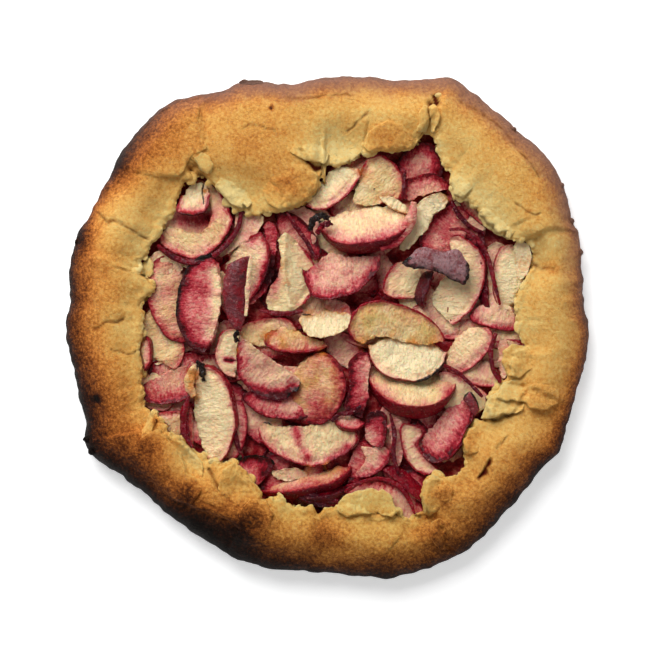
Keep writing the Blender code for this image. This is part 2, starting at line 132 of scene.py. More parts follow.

# %% [markdown]
# ## Helpers for uneven, hand-made shapes
# Nothing on this tart is even. A displacement modifier could roughen a mesh, but the unevenness is
# also wanted for colours, so these helpers work it out as numbers: smooth noise, soft round spots,
# and the distance to a drawn line.

# %% Unevenness, spots and lines
NOISE_SHUFFLE = np.random.default_rng(7).permutation(256)
NOISE_SLOPES = np.random.default_rng(8).normal(size=(256, 3))
NOISE_SLOPES /= np.linalg.norm(NOISE_SLOPES, axis=1)[:, None]
NOISE_SHIFT, NOISE_FIRST, NOISE_GAIN = np.array([17.3, 5.1, 9.7]), 1.37, 1.6


def unevenness(points, size, seed=0.0):
    """Smooth noise from about -1 to 1 at points in mm, changing over about `size` mm."""
    p = np.asarray(points, float) / size + NOISE_SHIFT * (seed + NOISE_FIRST)
    cell = np.floor(p).astype(int)
    part = p - cell
    ease = part**3 * (part * (part * 6 - 15) + 10)
    total = np.zeros(len(p))
    for corner in np.ndindex(2, 2, 2):
        at = cell + corner
        draw = NOISE_SHUFFLE[at[:, 2] & 255]
        for axis in (1, 0):
            draw = NOISE_SHUFFLE[(at[:, axis] + draw) & 255]
        weight = np.where(corner, ease, 1 - ease).prod(axis=1)
        total += weight * (NOISE_SLOPES[draw] * (part - corner)).sum(axis=1)
    return NOISE_GAIN * total


def layered(points, layers):
    """Adds up sizes of unevenness, each given as its strength, its size in mm and a seed."""
    return sum(strength * unevenness(points, size, seed) for strength, size, seed in layers)


def spot_sum(x, y, spots):
    """Adds up round spots, each given as x, y, spread and amount."""
    total = np.zeros_like(x)
    for spot_x, spot_y, spread, amount in spots:
        total += amount * np.exp(-((x - spot_x) ** 2 + (y - spot_y) ** 2) / (2 * spread**2))
    return total


def signed_distance(x, y, path):
    """Distance to a drawn line, positive on its left side."""
    best = np.full_like(x, 1e9)
    for (x0, y0), (x1, y1) in zip(path, path[1:]):
        run_x, run_y = x1 - x0, y1 - y0
        share = ((x - x0) * run_x + (y - y0) * run_y) / (run_x**2 + run_y**2)
        share = np.clip(share, 0.0, 1.0)
        away_x, away_y = x - x0 - share * run_x, y - y0 - share * run_y
        away = np.hypot(away_x, away_y)
        side = np.where(run_x * away_y - run_y * away_x >= 0, 1.0, -1.0)
        best = np.where(away < np.abs(best), away * side, best)
    return best


def on_table(x, y):
    return np.stack([x, y, 0 * x], axis=1)


ruler = on_table(np.linspace(0.0, 100.0, 201), np.zeros(201))
print("unevenness over 100 mm reaches", round(float(np.abs(unevenness(ruler, 9)).max()), 2))

# %% [markdown]
# An outline is drawn as a few way points round the middle. Read back at any bearing, it is either
# sharp, as for torn dough, or eased into a curve, as for a rolled edge. Heights above the heap's
# usual top are eased down, so that no crumb stands taller than the tart is.

# %% Outlines and heights
TOP_EASE, TOP_ROOM = 23.6, 4.3  # mm: where the easing starts, and how much more height it leaves


def flatten_tops(z):
    over = np.maximum(z - TOP_EASE, 0.0)
    return np.minimum(z, TOP_EASE) + TOP_ROOM * (1.0 - np.exp(-over / TOP_ROOM))


def outline_radius(points, bearings, smooth):
    """Radius of a closed outline round the middle at each bearing."""
    table = sorted((math.atan2(y, x) % math.tau, math.hypot(x, y)) for x, y in points)
    angle = np.array([row[0] for row in table])
    radius = np.array([row[1] for row in table])
    angle = np.concatenate([angle[-2:] - math.tau, angle, angle[:2] + math.tau])
    radius = np.concatenate([radius[-2:], radius, radius[:2]])
    if not smooth:
        return np.interp(bearings, angle, radius)
    at = np.clip(np.searchsorted(angle, bearings, side="right") - 1, 1, len(angle) - 3)
    share = (bearings - angle[at]) / (angle[at + 1] - angle[at])
    slope0 = (radius[at + 1] - radius[at - 1]) / 2
    slope1 = (radius[at + 2] - radius[at]) / 2
    s2, s3 = share**2, share**3
    return (
        (2 * s3 - 3 * s2 + 1) * radius[at]
        + (s3 - 2 * s2 + share) * slope0
        + (3 * s2 - 2 * s3) * radius[at + 1]
        + (s3 - s2) * slope1
    )


def bearing_of(x, y):
    """Way round the middle, counter-clockwise from the east."""
    return np.arctan2(y, x) % math.tau


print("a height of 40 mm becomes", round(float(flatten_tops(np.array([40.0]))[0]), 1), "mm")

# %% [markdown]
# These helpers fetch a mesh's points as millimetres, keep numbers at them for a material to read,
# and do the chores of edit mode. An operator acts on all that is selected, so deselect() comes first.

# %% Points, numbers and chores
def deselect():
    bpy.ops.object.select_all(action="DESELECT")


def normals_of(obj, what="normal"):
    flat = np.empty(len(obj.data.vertices) * 3, np.float32)
    obj.data.vertices.foreach_get(what, flat)
    return flat.reshape(-1, 3).astype(float)


def points_of(obj):
    """Vertex positions in mm."""
    return normals_of(obj, "co") / MM


def move_points(obj, points):
    obj.data.vertices.foreach_set("co", (np.asarray(points) * MM).astype(np.float32).ravel())
    obj.data.update()


def store(obj, name, values, kind="FLOAT", field="value"):
    """Keeps one number, or a vector, for each vertex, for a material to read."""
    attribute = obj.data.attributes.new(name, kind, "POINT")
    attribute.data.foreach_set(field, np.asarray(values, np.float32).ravel())


def apply_modifier(obj, kind, **settings):
    """Adds a modifier, sets it and applies it to the mesh."""
    modifier = obj.modifiers.new(kind.lower(), kind)
    for key, value in settings.items():
        setattr(modifier, key, value)
    bpy.context.view_layer.objects.active = obj
    bpy.ops.object.modifier_apply(modifier=modifier.name)


def remesh(obj, size, smooth):
    """Gives a piece an even skin of faces about `size` mm across, then smooths it."""
    apply_modifier(obj, "REMESH", mode="VOXEL", voxel_size=size * MM, use_smooth_shade=True)
    apply_modifier(obj, "SMOOTH", factor=0.5, iterations=smooth)


def edit_all():
    """Starts edit mode with everything selected."""
    bpy.ops.object.mode_set(mode="EDIT")
    bpy.ops.mesh.select_all(action="SELECT")


def face_outwards():
    """Turns all faces outwards and ends edit mode."""
    bpy.ops.mesh.select_all(action="SELECT")
    bpy.ops.mesh.normals_make_consistent(inside=False)
    bpy.ops.object.mode_set(mode="OBJECT")


def filled_circle(name, corners):
    """A small disc, whose rim is then moved out to an outline."""
    deselect()
    bpy.ops.mesh.primitive_circle_add(vertices=corners, radius=MM, fill_type="NGON")
    disc = bpy.context.object
    disc.name = name
    return disc


def closed_edge(outline, steps):
    """Evenly shared points along a closed outline, `steps` for each of its sides."""
    loop = np.concatenate([outline, outline[:1]])
    share = np.arange(steps * len(outline)) / steps
    return np.stack([np.interp(share, range(len(loop)), loop[:, k]) for k in (0, 1)], axis=1)


def extrude(height):
    bpy.ops.mesh.extrude_region_move(TRANSFORM_OT_translate={"value": (0, 0, height * MM)})


# %% [markdown]
# ## The pastry case: its plan
# A baker heaps fruit on rolled dough and folds the border over it. So the case has a lumpy outer
# edge and a torn inner edge, both drawn as way points round the middle.

# %% Outer and inner edge of the case
OUTER_EDGE = (
    (141, -4), (138, 12), (137, 30), (136, 47), (131, 61), (126, 79), (117, 93), (105, 103), (95, 113),
    (80, 125), (66, 134), (54, 134), (38, 133), (18, 135), (-2, 134), (-22, 131), (-38, 132), (-49, 131),
    (-56, 127), (-74, 124), (-88, 119), (-103, 104), (-112, 92), (-118, 80), (-127, 62), (-134, 51),
    (-139, 34), (-138, 16), (-141, 0), (-138, -16), (-134, -35), (-130, -50), (-130, -62), (-124, -71),
    (-110, -80), (-95, -92), (-80, -105), (-65, -115), (-50, -124), (-34, -129), (-17, -131), (2, -132),
    (18, -134), (32, -135), (46, -132), (60, -127), (73, -121), (85, -111), (95, -100), (108, -86),
    (115, -75), (124, -68), (128, -55), (133, -38), (138, -21),
)
TORN_EDGE = (
    (101, 0), (100, 10), (101, 18), (105, 24), (108, 30), (110, 38), (108, 46), (103, 46), (97, 47),
    (94, 51), (90, 50), (87, 55), (82, 60), (78, 65), (74, 69), (67, 68), (66, 75), (65, 82), (60, 90),
    (58, 97), (57, 102), (52, 104), (47, 97), (46, 95), (40, 95), (30, 94), (21, 92), (19, 96), (18, 92),
    (10, 87), (3, 86), (-1, 87), (-3, 84), (-1, 80), (-2, 76), (-6, 72), (-12, 66), (-16, 64), (-20, 63),
    (-25, 62), (-30, 61), (-35, 61), (-40, 60), (-44, 62), (-46, 67), (-48, 62), (-50, 64), (-53, 67),
    (-57, 72), (-61, 76), (-65, 80), (-68, 81), (-72, 79), (-76, 77), (-78, 74), (-80, 68), (-82, 62),
    (-85, 57), (-88, 53), (-88, 50), (-92, 47), (-95, 43), (-97, 38), (-101, 35), (-104, 29), (-98, 28),
    (-95, 26), (-92, 21), (-96, 16), (-100, 12), (-98, 8), (-99, 3), (-98, -3), (-101, -12), (-99, -18),
    (-98, -24), (-100, -30), (-98, -35), (-99, -42), (-95, -44), (-91, -50), (-87, -55), (-84, -53),
    (-80, -58), (-76, -61), (-72, -66), (-66, -67), (-63, -72), (-60, -70), (-57, -73), (-52, -71),
    (-47, -75), (-43, -80), (-38, -87), (-34, -92), (-28, -90), (-25, -89), (-22, -94), (-15, -96),
    (-8, -95), (-5, -100), (0, -97), (5, -95), (12, -94), (22, -98), (32, -99), (36, -98), (40, -102),
    (45, -103), (48, -100), (52, -97), (50, -90), (52, -82), (56, -78), (60, -80), (65, -80), (70, -79),
    (72, -75), (74, -72), (73, -65), (72, -60), (75, -54), (78, -50), (84, -50), (86, -45), (85, -38),
    (90, -31), (95, -28), (97, -25), (97, -20), (99, -15), (99, -12), (104, -12), (106, -9), (103, -5),
)
print(len(OUTER_EDGE), "way points outside,", len(TORN_EDGE), "along the torn edge")

# %% [markdown]
# ## The pastry case: its relief
# Three tables hold what the folding and baking did. SWELLS are puffs and hollows: x, y, spread and
# height. PLEATS are the overlapping folds, each a line and how far the pastry stands proud on its
# left, or on its right where that is below 0. CRACKS are splits, with their width and depth.

# %% Puffs, pleats and cracks of the pastry
SWELLS = (
    (-45, 102, 24, 3), (-43, 92, 12, 1.2), (-16, 86, 14, 2), (34, 103, 11, 3.2), (10, 101, 8, -3.4),
    (-38, 76, 9, -2.4), (-92, 98, 20, 1.8), (-104, 58, 20, 2), (84, 86, 24, 2.6), (100, 62, 15, 1.2),
    (115, 33, 6, -2.8), (122, 18, 16, 1.6), (118, -14, 14, 1.4), (92, -38, 8, 1.6), (112, -46, 8, -1.8),
    (96, -76, 17, 2.2), (61, -101, 6, -2.8), (28, -108, 16, 1.4), (0, -107, 8, -1.6),
    (-16, -106, 14, 1.6), (-62, -86, 12, 2.2), (-88, -66, 12, 2.6), (-106, -28, 14, 1.6),
    (-112, -4, 12, 1.6), (-112, 14, 9, 1.6), (-118, 26, 12, 1.4), (-40, -101, 8, 2.6), (-27, 78, 8, 1.6),
    (-12, 101, 8, -2), (-56, 83, 6, -1.4), (-70, 87, 4, -1.2), (104, -36, 4, -1.4), (-100, -8, 8, 0.8),
    (66, -88, 9, 1.2), (120, -2, 8, -1), (-92, 66, 8, -1), (-72, -72, 9, -2.6), (-48, -86, 8, -2),
    (-84, -80, 5, -1.6), (96, -30, 10, -1.6), (44, -104, 6, -1.4),
)
PLEATS = (
    (((-71, 80), (-74, 84), (-70, 89), (-65, 96), (-67, 106), (-68, 116), (-62, 124)), 2.6),
    (((-78, 79), (-92, 81), (-104, 84), (-116, 86)), -1.6),
    (((54, 102), (58, 108), (59, 116), (62, 124), (64, 132)), -1.8),
    (((100, 46), (106, 47), (112, 50), (118, 53), (128, 52)), 2.6),
    (((94, -28), (104, -30), (113, -34), (126, -40)), 1.8),
    (((50, -100), (58, -99), (61, -106), (62, -113), (68, -121)), 2.6),
    (((-33, -91), (-31, -99), (-38, -107), (-47, -108), (-52, -118)), 3),
    (((-92, -45), (-97, -54), (-108, -56), (-117, -59), (-128, -60)), 2.4),
    (((-93, 22), (-100, 28), (-108, 32), (-116, 37), (-134, 43)), 1.8),
    (((-92, -84), (-82, -92), (-68, -97), (-54, -101), (-46, -107)), 3.2),
    (((-12, -97), (-9, -102), (-2, -104), (4, -109), (13, -110), (20, -114)), -0.7),
    (((38, -112), (42, -107), (47, -107), (54, -101)), 0.9),
)
CRACKS = (
    (((-122, 61), (-117, 56), (-113, 57), (-108, 54), (-103, 51), (-100, 49), (-95, 47)), 0.7, 1),
    (((-45, 106), (-40, 108), (-35, 107), (-28, 105)), 0.5, 0.5),
    (((-14, 94), (-12, 91), (-10, 88), (-7, 85), (-2, 85)), 1.1, 2.6),
    (((-30, 77), (-27, 75), (-24, 71), (-23, 66)), 0.8, 1.4),
    (((-75, 88), (-73, 84), (-71, 81)), 1, 1.6),
    (((-68, 82), (-66, 80), (-65, 79)), 1.3, 2.4),
    (((11, 104), (14, 108), (18, 111), (22, 115)), 0.6, 0.8),
    (((55, 118), (54, 112), (52, 108), (51, 105)), 0.7, 1.2),
    (((54, 120), (56, 118), (58, 120), (57, 123)), 1.3, 2.8),
    (((100, 66), (106, 62), (110, 60), (113, 62)), 0.6, 0.8),
    (((109, 34), (114, 32), (121, 31)), 1, 1),
    (((-124, -1), (-119, 2), (-113, 3), (-108, 4)), 0.7, 1),
    (((-63, -76), (-61, -79), (-60, -82), (-58, -86)), 0.9, 2),
    (((-68, -93), (-63, -94), (-60, -96), (-56, -97)), 0.7, 1.2),
    (((-45, -104), (-40, -107), (-35, -104)), 0.8, 1.4),
    (((105, -31), (106, -35), (103, -41), (98, -46), (92, -49), (83, -49)), 0.9, 2),
    (((86, -70), (86, -73.5), (84.5, -77), (81, -80.5)), 0.9, 2.9),
    (((60, -103), (62, -110), (64, -117), (66, -118)), 1.2, 2.2),
    (((36, -99), (41, -100), (44, -104)), 1, 2.4),
    (((-104, 111), (-96, 104), (-88, 112)), 0.4, 0.4),
    (((70, 121), (78, 117), (86, 112), (93, 106), (100, 98)), 0.5, 0.6),
    (((103, 93), (108, 88), (113, 80)), 0.5, 0.6),
    (((-86, 121), (-78, 121), (-68, 123)), 0.7, 0.9),
    (((-115, -12), (-106, -14), (-100, -13)), 0.5, 0.6),
    (((96, -58), (92, -61), (90, -64)), 0.6, 0.8),
    (((-22, 123), (-10, 122), (0, 124), (12, 124)), 0.4, 0.4),
)
PLEAT_FADE = 12.0  # how far from its line a fold stays proud
PLEAT_GUTTER = 2.6
PLEAT_STEP = 0.45
PLEAT_DIP = 0.45  # the gutter at its foot, as a share of its height
OPEN_CRACK = 2.5  # a split deeper than this, in mm, shows the fruit


def pleat_relief(x, y):
    """How far the folds raise or sink the crust."""
    rise = np.zeros_like(x)
    for path, proud in PLEATS:
        away = signed_distance(x, y, path)
        side = away * math.copysign(1.0, proud)
        height = abs(proud)
        step = 1.0 / (1.0 + np.exp(-side / PLEAT_STEP))
        rise += step * height * np.exp(-np.abs(away) / PLEAT_FADE)
        rise -= (1.0 - step) * PLEAT_DIP * height * np.exp(-np.abs(away) / PLEAT_GUTTER)
    return rise


def crack_field(x, y, wobble):
    """1 in the middle of a crack, 2 where fruit shows in it, 0 away from it; and its depth there."""
    mark, depth = np.zeros_like(x), np.zeros_like(x)
    broken = (0.8 + 0.6 * unevenness(on_table(x, y), 3.0, 14)).clip(0.0, 1.0)
    for path, width, deep in CRACKS:
        away = np.abs(signed_distance(x + wobble, y - wobble, path))
        near = np.exp(-((away / width) ** 2)) * broken
        mark = np.maximum(mark, near * (1.0 + (deep > OPEN_CRACK)))
        depth = np.maximum(depth, near * deep)
    return mark, depth


print(len(SWELLS), "swells,", len(PLEATS), "pleats and", len(CRACKS), "cracks")

# %% [markdown]
# ## The pastry case: its section
# Cut across, the case shows a flat underside, the rolled outer edge, the arched fold, the torn lip
# and the floor under the fruit. A few control points at each bearing describe that, and a smooth
# curve runs through them, finer where the crust shows most.

# %% Section of the case
SPOKES = 800
SHOULDER, CREST, LIP = 18.5, 22.0, 17.5  # heights of the rolled edge, the fold and the torn lip
FLOOR, BED_TOP = 4.0, 10.0
ROLL_WIDTH = 10.0
FOLD_SHARES = (0.16, 0.34, 0.52, 0.70, 0.86)  # control points on the way from shoulder to lip
OUTER_WAVES = ((0.9, 9, 7), (0.5, 3.5, 3))
TORN_WAVES = ((1.1, 5, 1), (1.0, 2.2, 2))
RING_STEPS = np.concatenate([
    [0.4, 0.8, 0.97],
    np.linspace(1, 6, 25),
    np.linspace(6, 12, 65)[1:],
    np.linspace(12, 14, 15)[1:],
    np.linspace(14, 16, 6)[1:],
    [16.4],
])
LAST_STEP = 17.0


def ragged_edge(outline, bearings, smooth, waves):
    """Radius of an edge with its small waves, and where it runs."""
    x, y = np.cos(bearings), np.sin(bearings)
    radius = outline_radius(outline, bearings, smooth)
    at = on_table(x * radius, y * radius)
    for wave in waves:
        radius = radius + layered(at, (wave,))
    return radius, at


def case_controls(bearings):
    """Control points of the section at each bearing: an array of spokes, points, radius and height."""
    outer, _ = ragged_edge(OUTER_EDGE, bearings, True, OUTER_WAVES)
    torn, at_torn = ragged_edge(TORN_EDGE, bearings, False, TORN_WAVES)
    thin = 0.9 * unevenness(at_torn, 5, 9)
    shoulder, nose = outer - ROLL_WIDTH, torn + 1.7
    rows = [(0 * outer, 0.0), (outer - 3.5, 0.0), (outer - 0.8, 2.6), (outer, 6.4)]
    rows += [(outer - 1.2, 11.0), (outer - 4.4, 15.4), (shoulder, SHOULDER)]
    for share in FOLD_SHARES:
        arch = max(0.0, math.sin(math.pi * min(1.0, share / 0.8)))
        level = SHOULDER + (LIP - SHOULDER) * share + (CREST - SHOULDER) * arch
        rows.append((shoulder + (nose - shoulder) * share, level))
    rows += [(nose, LIP - 0.2 + thin), (torn, LIP - 2.3 + thin), (torn + 0.9, LIP - 5.0 + thin)]
    rows += [(torn + 2.6, BED_TOP), (torn + 2.6, FLOOR), (0 * outer, FLOOR)]
    return np.stack([np.stack([r, np.zeros_like(r) + z], axis=1) for r, z in rows], axis=1)


def along_section(controls, step):
    """Point of every section at one step, on a smooth curve through the control points."""
    last = controls.shape[1] - 1
    at = min(int(step), last - 1)
    t = step - at
    p1, p2 = controls[:, at], controls[:, at + 1]
    if at in (0, last - 1):  # the flat underside and the flat floor
        return p1 + (p2 - p1) * t
    p0 = 2 * p1 - p2 if at == 1 else controls[:, at - 1]
    p3 = 2 * p2 - p1 if at == last - 2 else controls[:, at + 2]
    return 0.5 * (
        2 * p1
        + (p2 - p0) * t
        + (2 * p0 - 5 * p1 + 4 * p2 - p3) * t**2
        + (3 * p1 - p0 - 3 * p2 + p3) * t**3
    )


print(len(RING_STEPS), "rings of", SPOKES, "points")

# %% [markdown]
# ## The pastry case: its body
# The case could be lofted face by face. Here a flat sheet, a fine grid, is bent round the middle
# until its ends meet, while its width follows the case's section. The first and last rows shrink to
# a point each, which closes the skin. Relief is added only where the crust shows.

# %% Shape the case
RELIEF_STEPS = ((0.0, 0.0), (3.0, 0.0), (4.5, 0.35), (6.5, 1.0), (13.2, 1.0), (15.0, 0.0), (17.0, 0.0))
BROAD_LUMPS, SMALL_LUMPS = ((1.1, 26, 3), (0.40, 11, 5)), ((0.14, 4.5, 6), (0.14, 2.0, 8))
LIP_LUMPS = ((0.45, 3.2, 11), (0.5, 6.5, 12))
SWELL_GAIN = 1.4


def flat_sheet(name, spokes, rings):
    """A flat grid, with the spoke and the ring number of each of its points."""
    deselect()
    bpy.ops.mesh.primitive_grid_add(x_subdivisions=spokes, y_subdivisions=rings - 1, size=2.0)
    sheet = bpy.context.object
    sheet.name = name
    start = points_of(sheet) * MM
    spoke = np.rint((start[:, 0] + 1) / 2 * spokes).astype(int)
    ring = np.rint((start[:, 1] + 1) / 2 * (rings - 1)).astype(int)
    return sheet, spoke % spokes, ring


def close_sheet(sheet):
    """Joins the ends of a rolled sheet and turns its faces outwards."""
    deselect()
    sheet.select_set(True)
    bpy.context.view_layer.objects.active = sheet
    edit_all()
    bpy.ops.mesh.remove_doubles(threshold=1e-7)
    bpy.ops.mesh.dissolve_degenerate(threshold=1e-7)
    face_outwards()
    bpy.ops.object.shade_smooth()


def case_lumps(flat, step):
    """The hand-made unevenness of the crust, strongest near the torn lip."""
    near_lip = np.interp(step, (9.5, 12.0, 13.5), (0.0, 1.0, 0.6))
    return layered(flat, BROAD_LUMPS) + layered(flat, SMALL_LUMPS) + near_lip * layered(flat, LIP_LUMPS)


def shape_case():
    case, spoke, ring = flat_sheet("pastry_case_baked", SPOKES, len(RING_STEPS) + 2)
    bearings = math.tau * np.arange(SPOKES) / SPOKES
    controls = case_controls(bearings)
    section = np.stack([along_section(controls, s) for s in RING_STEPS])
    step = np.concatenate([[0.0], RING_STEPS, [LAST_STEP]])[ring]
    inner = np.clip(ring - 1, 0, len(RING_STEPS) - 1)
    radius, height = section[inner, spoke, 0], section[inner, spoke, 1]
    radius = np.where((ring == 0) | (ring > len(RING_STEPS)), 0.0, radius)
    height = np.where(ring == 0, 0.0, np.where(ring > len(RING_STEPS), FLOOR, height))
    x, y = radius * np.cos(bearings[spoke]), radius * np.sin(bearings[spoke])
    flat = on_table(x, y)
    wobble = 1.1 * unevenness(flat, 5, 4)
    mark, depth = crack_field(x, y, wobble)
    relief = pleat_relief(x + wobble, y + wobble) + SWELL_GAIN * spot_sum(x, y, SWELLS)
    relief = relief + case_lumps(flat, step) - depth
    weight = np.interp(step, *zip(*RELIEF_STEPS))
    height = flatten_tops(np.maximum(height + weight * relief, 0.0))
    move_points(case, np.stack([x, y, height], axis=1))
    store(case, "crack", mark * (weight > 0.3))
    close_sheet(case)
    return case


case = shape_case()
print("pastry case", len(case.data.polygons), "faces, z up to", round(points_of(case)[:, 2].max(), 1))

# %% [markdown]
# ## The pastry case: how brown it is
# How brown a point is could be painted by hand. As a number, from 0 for raw dough to 1 for charred,
# it can be asked for anywhere, also on a loose flap. It adds up a burn along the outer edge,
# listed patches, and the height of the relief.

# %% Tables of browning
# Bearing in degrees, width of the burnt edge in mm, how dark it is, and how brown the fold is.
BURN = (
    (0, 8, 0.53, -0.02), (15, 8, 0.44, 0), (30, 8, 0.33, -0.02), (45, 13, 0.36, 0), (60, 14, 0.38, 0),
    (75, 11, 0.4, 0), (90, 10, 0.4, 0.01), (105, 11, 0.44, 0), (120, 11, 0.38, 0), (132, 11, 0.4, 0.02),
    (143, 15, 0.56, 0.03), (152, 9, 0.38, -0.02), (163, 13, 0.56, 0.01), (180, 17, 0.62, 0.01),
    (195, 21, 0.68, 0.04), (210, 21, 0.72, 0.05), (225, 18, 0.68, 0.04), (240, 24, 0.74, 0.07),
    (255, 21, 0.68, 0.05), (270, 12, 0.62, 0.05), (285, 17, 0.56, 0.02), (300, 15, 0.51, 0.05),
    (315, 13, 0.56, 0.04), (330, 13, 0.59, 0.02), (345, 9, 0.46, 0),
)
# Patches at x, y with spread and amount, browner or, below 0, paler.
BROWN_PATCHES = (
    (-90, 103, 15, 0.15), (-41, 96, 13, 0.14), (0, 114, 12, 0.05), (-18, 77, 8, 0.15), (32, 101, 8, 0.09),
    (90, 60, 9, -0.08), (116, 72, 12, 0.09), (120, 32, 3, 0.2), (-94, -62, 4, 0.12), (-106, -56, 6, 0.1),
    (-106, -72, 12, 0.05), (-74, -87, 4, 0.16), (-70, -106, 9, 0.12), (-39, -100, 8, 0.14),
    (-47, -112, 6, 0.18), (101, -18, 7, 0.06), (112, -37, 8, 0.1), (76, -60, 5, 0.12), (61, -88, 4, 0.12),
    (84, -92, 18, 0.06), (60, -110, 6, 0.12), (2, -110, 8, 0.12), (24, -112, 10, 0.04),
    (-30, 117, 0.9, 0.5), (-92, -50, 1.6, 0.3), (-123, -38, 1.5, 0.35), (-112, 66, 16, -0.03),
    (80, 92, 18, -0.04), (-110, -10, 14, -0.02), (-75, -70, 7, -0.12), (-52, 72, 7, -0.12),
    (70, 73, 6, -0.12), (118, 44, 10, -0.06), (92, -40, 7, -0.04), (-62, -64, 5, -0.06),
    (-22, -93, 6, -0.08), (-132, 48, 6, 0.16), (-100, 33, 5, -0.06), (-84, 56, 8, -0.06),
    # The paler spot at 0, 99 lightens a hollow that the relief shades: painted light.
    (10, 92, 8, -0.08), (-45, 108, 8, -0.05), (0, 99, 8, -0.15), (-2, -113, 6, 0.18), (-113, 90, 6, 0.12),
    (0, -122, 5, -0.1), (53, -90, 6, 0.1), (66, -98, 8, 0.06), (30, 112, 8, -0.06), (30, -128, 8, 0.08),
    (-118, 30, 10, 0.08), (50, -108, 5, 0.1), (26, -99, 4, 0.08), (57, 99, 5, -0.06),
    (-64, -92, 7, -0.08), (-52, -84, 6, -0.05),
)
RAW = 0.24
print(len(BURN), "bearings and", len(BROWN_PATCHES), "patches")

# %% [markdown]
# Two more things belong to the rim: a thin darker line right at the edge, and along the northeast
# a dull purple-brown instead of a warm one.

# %% Browning of the pastry
BROWN_BLOTCHES = ((1.0, 14, 21), (0.6, 6, 22), (0.5, 2.5, 23))
INNER_FOLD = 26.0  # mm in from the edge, where the fold starts to be paler
RIM_LINE, RIM_REACH = 0.16, 2.2
ASH_BEARING = math.radians(65)


def inward_of_edge(x, y, bearings):
    """Distance in mm from the outer edge, measured towards the middle."""
    return outline_radius(OUTER_EDGE, bearings, True) - np.hypot(x, y)


def browning(points):
    """How brown the pastry is at points in mm, 0 for raw dough and 1 for charred."""
    x, y, z = points.T
    bearings = bearing_of(x, y)
    wheel = np.array(BURN + ((360,) + BURN[0][1:],), float)
    width, dark, fold = (np.interp(np.degrees(bearings), wheel[:, 0], wheel[:, k]) for k in (1, 2, 3))
    from_edge = inward_of_edge(x, y, bearings)
    blotch = layered(points, BROWN_BLOTCHES)
    edge = dark / (1.0 + np.exp((from_edge - 0.55 * width + 2.4 * blotch) / (0.38 * width)))
    low = np.clip((12.0 - z) / 12.0, 0, 1)
    puff = spot_sum(x, y, [row for row in SWELLS if row[3] > 0])
    bake = RAW + edge + fold + spot_sum(x, y, BROWN_PATCHES) + 0.035 * blotch
    bake -= 0.05 * np.clip((from_edge - INNER_FOLD) / 12.0, 0.0, 1.0)
    bake += RIM_LINE * np.exp(-from_edge.clip(0.0) / RIM_REACH)
    return bake + 0.016 * puff + 0.04 * low * (from_edge < 30)


def ashen(points):
    """Where the rim went a dull purple-brown, 0 to 1: along the northeast."""
    x, y = points[:, 0], points[:, 1]
    from_edge = inward_of_edge(x, y, bearing_of(x, y))
    northeast = np.clip((np.cos(np.arctan2(y, x) - ASH_BEARING) - 0.2) / 0.6, 0.0, 1.0)
    band = 1.0 / (1.0 + np.exp((from_edge - 9.0 + 3.0 * unevenness(points, 8, 27)) / 2.0))
    return northeast * band


bake = browning(points_of(case))
store(case, "bake", np.clip(bake, 0.02, 1.0))
store(case, "ash", ashen(points_of(case)))
print("browning from", round(float(bake.min()), 2), "to", round(float(bake.max()), 2))

# %% [markdown]
# ## Materials: a short way to write them
# Every finish here is made of nodes that read the piece's own coordinates or the numbers kept at
# its points. A small class keeps that readable: one call adds one node and gives its output.

# %% A helper for materials
def tint(red, green, blue):
    """A colour as seen on a screen, 0 to 255, made linear for a shader."""
    shares = [channel / 255 for channel in (red, green, blue)]
    return [s / 12.92 if s <= 0.04045 else ((s + 0.055) / 1.055) ** 2.4 for s in shares] + [1.0]


